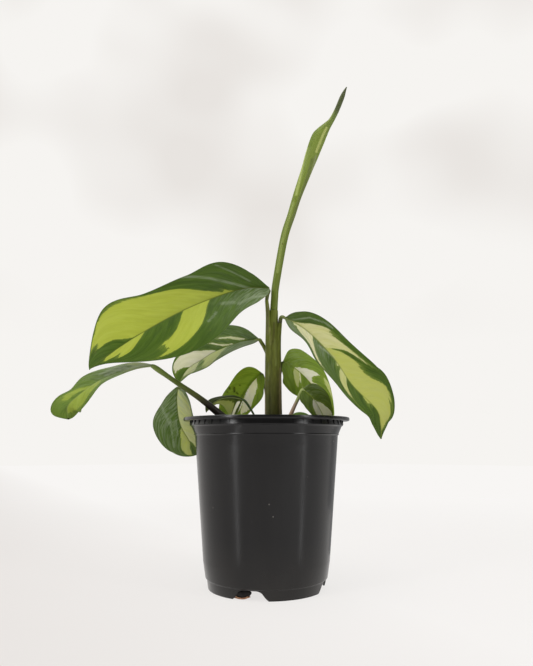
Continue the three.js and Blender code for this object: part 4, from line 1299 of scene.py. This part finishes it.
def crumb(chance, corners, place, size):
    """An irregular stone, sunk halfway into the mix."""
    rough = corners * chance.uniform(0.75, 1.2, (12, 1))
    rough = rough * (1, chance.uniform(0.5, 0.9), chance.uniform(0.3, 0.6))
    turn = chance.uniform(0, 360)
    rough[:, 2] += chance.uniform(-0.5, 0.5) * rough[:, 0]
    return np.array(turned_about(rough, turn)) * size / 2 + place


def soil():
    chance = np.random.default_rng(SOIL_SEED)
    top_radius = INNER_COLLAR_RADIUS - SOIL_GAP
    edge_height = COLLAR_LOW - SOIL_EDGE_DROP
    levels = [
        (INNER_FLOOR_RADIUS - SOIL_GAP, FLOOR_TOP + SOIL_FLOOR_GAP),
        (WAIST_RADIUS - POT_WALL - SOIL_GAP, WAIST),
        (SHOULDER_RADIUS - POT_WALL - SOIL_GAP, SHOULDER),
    ]
    levels += [(top_radius * (1 - i / SOIL_RINGS), edge_height) for i in range(SOIL_RINGS)]
    angle = np.linspace(0, 2 * np.pi, SOIL_SEGMENTS, endpoint=False)
    rings = []
    for radius, height in levels:
        x = radius * np.cos(angle)
        y = radius * np.sin(angle)
        settled = smooth_step(0, SOIL_SETTLES, top_radius - radius) if height == edge_height else 0
        rings.append(np.stack([x, y, height + (soil_height(x, y) - height) * settled], -1))
    corners, hull = twenty_sided()
    solids = [(np.concatenate(rings), ring_faces(len(rings), SOIL_SEGMENTS))]
    paints = [0]
    for paint, (count, sizes) in enumerate(CRUMBS):
        for _ in range(count):
            reach = (top_radius - CRUMB_INSET) * math.sqrt(chance.uniform())
            way = chance.uniform(0, 2 * math.pi)
            x = reach * math.cos(way)
            y = reach * math.sin(way)
            place = (x, y, soil_height(x, y) + CRUMB_RISE)
            solids.append((crumb(chance, corners, place, chance.uniform(*sizes)), hull))
            paints.append(paint)
    make_piece("potting_mix_top", "soil", "potting_mix", *merged(solids), [POTTING_MIX, BARK, PERLITE],
               sharp=30, painted=painted_faces(solids, paints))


# Mix and dry roots that have come out into the front notch, from the underside of the soil. The
# mix is painted near black, as painted shade inside the notch.
CLUMP_CENTRE = (-22.5, -47, 4.9)
CLUMP_SIZE = (19, 7, 8.4)
CLUMP_TURN = -23
CLUMP_RINGS = 18
CLUMP_SIDES = 28
NOTCH_ROOTS = [
    [(-32, -44.5, 3), (-27, -47.6, 1.3), (-20, -50.6, 1.2), (-14, -51, 3)],
    [(-30, -46, 4.5), (-25, -49.4, 1.9), (-19, -51.4, 2), (-15.5, -50.5, 4)],
]
ROOT_THICK = 0.9
ROOT_RINGS = 24
ROOT_SIDES = 10


def notch_clump():
    polar = np.linspace(0, np.pi, CLUMP_RINGS + 2)[1:-1, None]
    around = np.linspace(0, 2 * np.pi, CLUMP_SIDES, endpoint=False)[None]
    x = np.sin(polar) * np.cos(around)
    y = np.sin(polar) * np.sin(around)
    z = -np.cos(polar) + 0 * around
    lumps = 1 + 0.1 * np.sin(7 * x + 2) * np.sin(5 * z) + 0.07 * np.sin(11 * y)
    ball = (np.stack([x, y, z], -1) * lumps[..., None] * CLUMP_SIZE / 2).reshape(-1, 3)
    placed = np.array(turned_about(ball, CLUMP_TURN)) + CLUMP_CENTRE
    solids = [(placed, ring_faces(CLUMP_RINGS, CLUMP_SIDES))]
    for line in NOTCH_ROOTS:
        thick = [(*place, ROOT_THICK, ROOT_THICK) for place in line]
        points, _ = oval_rings(thick, ROOT_RINGS, ROOT_SIDES)
        solids.append((points.reshape(-1, 3), ring_faces(ROOT_RINGS, ROOT_SIDES)))
    make_piece("mix_in_notch", "soil", "potting_mix", *merged(solids), [NOTCH_SHADE_MIX, DRY_ROOT],
               painted=painted_faces(solids, (0, 1, 1)))


soil()
notch_clump()


# The studio: a pale paper floor that takes a faint shadow and darkens towards one side with a
# painted shade, a white wall with soft grey clouds of painted shadow that only the camera sees,
# even air, light strips on the floor, grey flags behind the right side, and three soft boxes.
# All of it is in metres.
FLOOR_RADIUS = 3
WALL_HEIGHT = 6
WALL_SIDES = 96
# The wall's white, and the grey of its painted shadows
WALL_TONES = ("#f6f4f1", "#e8e4e0")
WALL_SHADOW_SIZE = 0.909
WALL_SHADOW_EDGE = (0.45, 0.7)
WALL_SHADOW_RISE = (0.7, 1.6)
# The floor's tones, out of its painted shade and in it
FLOOR_TONES = ("#f9f7f5", "#e8e4e1")
FLOOR_PAPER = "#6e6c6b"
FLOOR_GLOW = (0.82, 0.99)
FLOOR_FADE = (0.25, 1.0)
# The floor's painted shade: which way it darkens, and over what span, in metres
SHADE_WAY = (-0.872, -0.49, 0)
SHADE_EDGE = (-0.06, 0.26)
AIR_TONE = "#f7f6f1"
BRIGHT_WAY = (-0.5, 0.87, 0)
BRIGHT_EDGE = (-0.3, 0.7)
AIR_STRENGTHS = (0.2, 1.0)


def stage_piece(name, points, faces, material, unseen_by):
    mesh = bpy.data.meshes.new(name)
    mesh.from_pydata(points, [], faces)
    mesh.materials.append(material)
    piece = bpy.data.objects.new(name, mesh)
    bpy.context.scene.collection.objects.link(piece)
    for ray in unseen_by:
        setattr(piece, f"visible_{ray}", False)


def wall_paint():
    """White, with soft grey clouds of painted shadow that fade out below the height of the plant's top."""
    material, tree = new_material("white_studio_wall")
    place = add(tree, "TexCoord")
    noise = add(tree, "TexNoise", {"Vector": place, "Scale": 1 / WALL_SHADOW_SIZE, "Detail": 1.0})
    cloud = add(tree, "MapRange", (noise, *WALL_SHADOW_EDGE))
    height = add(tree, "SeparateXYZ", (place,), gives="Z")
    high = add(tree, "MapRange", (height, *WALL_SHADOW_RISE))
    share = add(tree, "Math", (cloud, high), operation="MULTIPLY")
    tone = add(tree, "Mix", {0: share, 6: WALL_TONES[0], 7: WALL_TONES[1]}, data_type="RGBA")
    glow = add(tree, "Emission", (tone, 1.0))
    add(tree, "OutputMaterial", (glow,))
    return material


def floor_paper():
    """Lit paper near the pot, which gives way to an even glow where the floor meets the wall."""
    material, tree = new_material("pale_studio_paper")
    place = add(tree, "TexCoord")
    towards = add(tree, "VectorMath", (place, SHADE_WAY), operation="DOT_PRODUCT")
    shade = add(tree, "MapRange", (towards, *SHADE_EDGE))
    tone = add(tree, "Mix", {0: shade, 6: FLOOR_TONES[0], 7: FLOOR_TONES[1]}, data_type="RGBA")
    near, far = (add(tree, "Emission", (tone, strength)) for strength in FLOOR_GLOW)
    paper = add(tree, "BsdfDiffuse", (FLOOR_PAPER,))
    lit = add(tree, "AddShader", (near, paper))
    reach = add(tree, "VectorMath", (place,), operation="LENGTH")
    share = add(tree, "MapRange", (reach, *FLOOR_FADE), interpolation_type="SMOOTHSTEP")
    both = add(tree, "MixShader", (share, lit, far))
    add(tree, "OutputMaterial", (both,))
    return material


def floor_and_wall():
    turns = [2 * math.pi * k / WALL_SIDES for k in range(WALL_SIDES)]
    floor = [(FLOOR_RADIUS * math.cos(turn), FLOOR_RADIUS * math.sin(turn), 0) for turn in turns]
    top = [(x, y, WALL_HEIGHT) for x, y, _ in floor]
    stage_piece("studio_floor", floor, [tuple(range(WALL_SIDES))], floor_paper(), ())
    sides_and_caps = ring_faces(2, WALL_SIDES)
    sides = sides_and_caps[:WALL_SIDES]
    stage_piece("studio_wall", floor + top, sides, wall_paint(), ("diffuse", "glossy", "shadow"))


def glowing(name, strength):
    """A material that is only white light."""
    material, tree = new_material(name)
    glow = add(tree, "Emission", ("#ffffff", strength))
    add(tree, "OutputMaterial", (glow,))
    return material


# Light strips on the floor, which the pot's tapered wall mirrors: (start, way in degrees from
# the front towards the right, half spread in degrees, strength)
FLOOR_STRIPS = {
    "left_floor_strip": ((-0.027, -0.060), -50.8, 2, 3.6),
    "right_floor_strip": ((0.032, -0.057), 62, 1.6, 3.4),
}
STRIP_REACH = (0.09, 1.6)
STRIP_HEIGHT = 0.0004


def floor_strip(name, start, way, spread, strength):
    points = []
    for reach, sides in zip(STRIP_REACH, ((-1, 1), (1, -1))):
        for side in sides:
            turn = math.radians(way + side * spread)
            x = start[0] + reach * math.sin(turn)
            y = start[1] - reach * math.cos(turn)
            points.append((x, y, STRIP_HEIGHT))
    stage_piece(name, points, [(0, 1, 2, 3)], glowing(name + "_light", strength),
                ("camera", "diffuse", "shadow"))


# Grey flags behind the right side, which only reflections see: the pot's right edge mirrors
# them. Each is (reach from the pot's axis, span in degrees from the back to the right, height).
GREY_FLAGS = {
    "far_grey_flag": (0.45, (6, 62), 0.5),
    "near_grey_flag": (0.17, (5, 56), 0.06),
}
FLAG_STEPS = 12
FLAG_FOOT = 0.001
FLAG_STRENGTH = 0.42


def grey_flag(name, reach, span, height):
    turns = [math.radians(a) for a in np.linspace(*span, FLAG_STEPS + 1)]
    foot = [(reach * math.sin(turn), reach * math.cos(turn), FLAG_FOOT) for turn in turns]
    head = [(x, y, height) for x, y, _ in foot]
    faces = [(k, k + 1, FLAG_STEPS + 2 + k, FLAG_STEPS + 1 + k) for k in range(FLAG_STEPS)]
    stage_piece(name, foot + head, faces, glowing(name + "_cloth", FLAG_STRENGTH),
                ("camera", "diffuse", "transmission", "shadow"))


# Soft boxes: (place, what it faces, width and height, power in watts)
SOFT_BOXES = {
    "left_soft_box": ((-1.2, -1.0, 0.7), (0, 0, 0.25), (0.22, 1.5), 10),
    "right_soft_box": ((1.25, -0.9, 0.7), (0, 0, 0.25), (0.22, 1.5), 7.5),
    "top_soft_box": ((-0.2, -0.5, 1.7), (0, 0, 0.2), (1.4, 1.2), 11),
}


def soft_box(name, place, target, size, power):
    light = bpy.data.lights.new(name, "AREA")
    light.shape = "RECTANGLE"
    light.size, light.size_y = size
    light.energy = power
    box = bpy.data.objects.new(name, light)
    box.location = place
    box.rotation_euler = (Vector(target) - Vector(place)).to_track_quat("-Z", "Y").to_euler()
    box.visible_camera = False
    bpy.context.scene.collection.objects.link(box)


def studio_air():
    """Even light from all round, brighter from behind at the left."""
    world = bpy.data.worlds.new("studio_air")
    world.use_nodes = True
    tree = world.node_tree
    tree.nodes.clear()
    way = add(tree, "TexCoord", gives="Generated")
    behind = add(tree, "VectorMath", (way, BRIGHT_WAY), operation="DOT_PRODUCT")
    strength = add(tree, "MapRange", (behind, *BRIGHT_EDGE, *AIR_STRENGTHS))
    air = add(tree, "Background", (AIR_TONE, strength))
    add(tree, "OutputWorld", (air,))
    bpy.context.scene.world = world


floor_and_wall()
studio_air()
for strip_name, strip_values in FLOOR_STRIPS.items():
    floor_strip(strip_name, *strip_values)
for flag_name, flag_values in GREY_FLAGS.items():
    grey_flag(flag_name, *flag_values)
for box_name, box_values in SOFT_BOXES.items():
    soft_box(box_name, *box_values)
bpy.context.scene.view_settings.view_transform = "Standard"
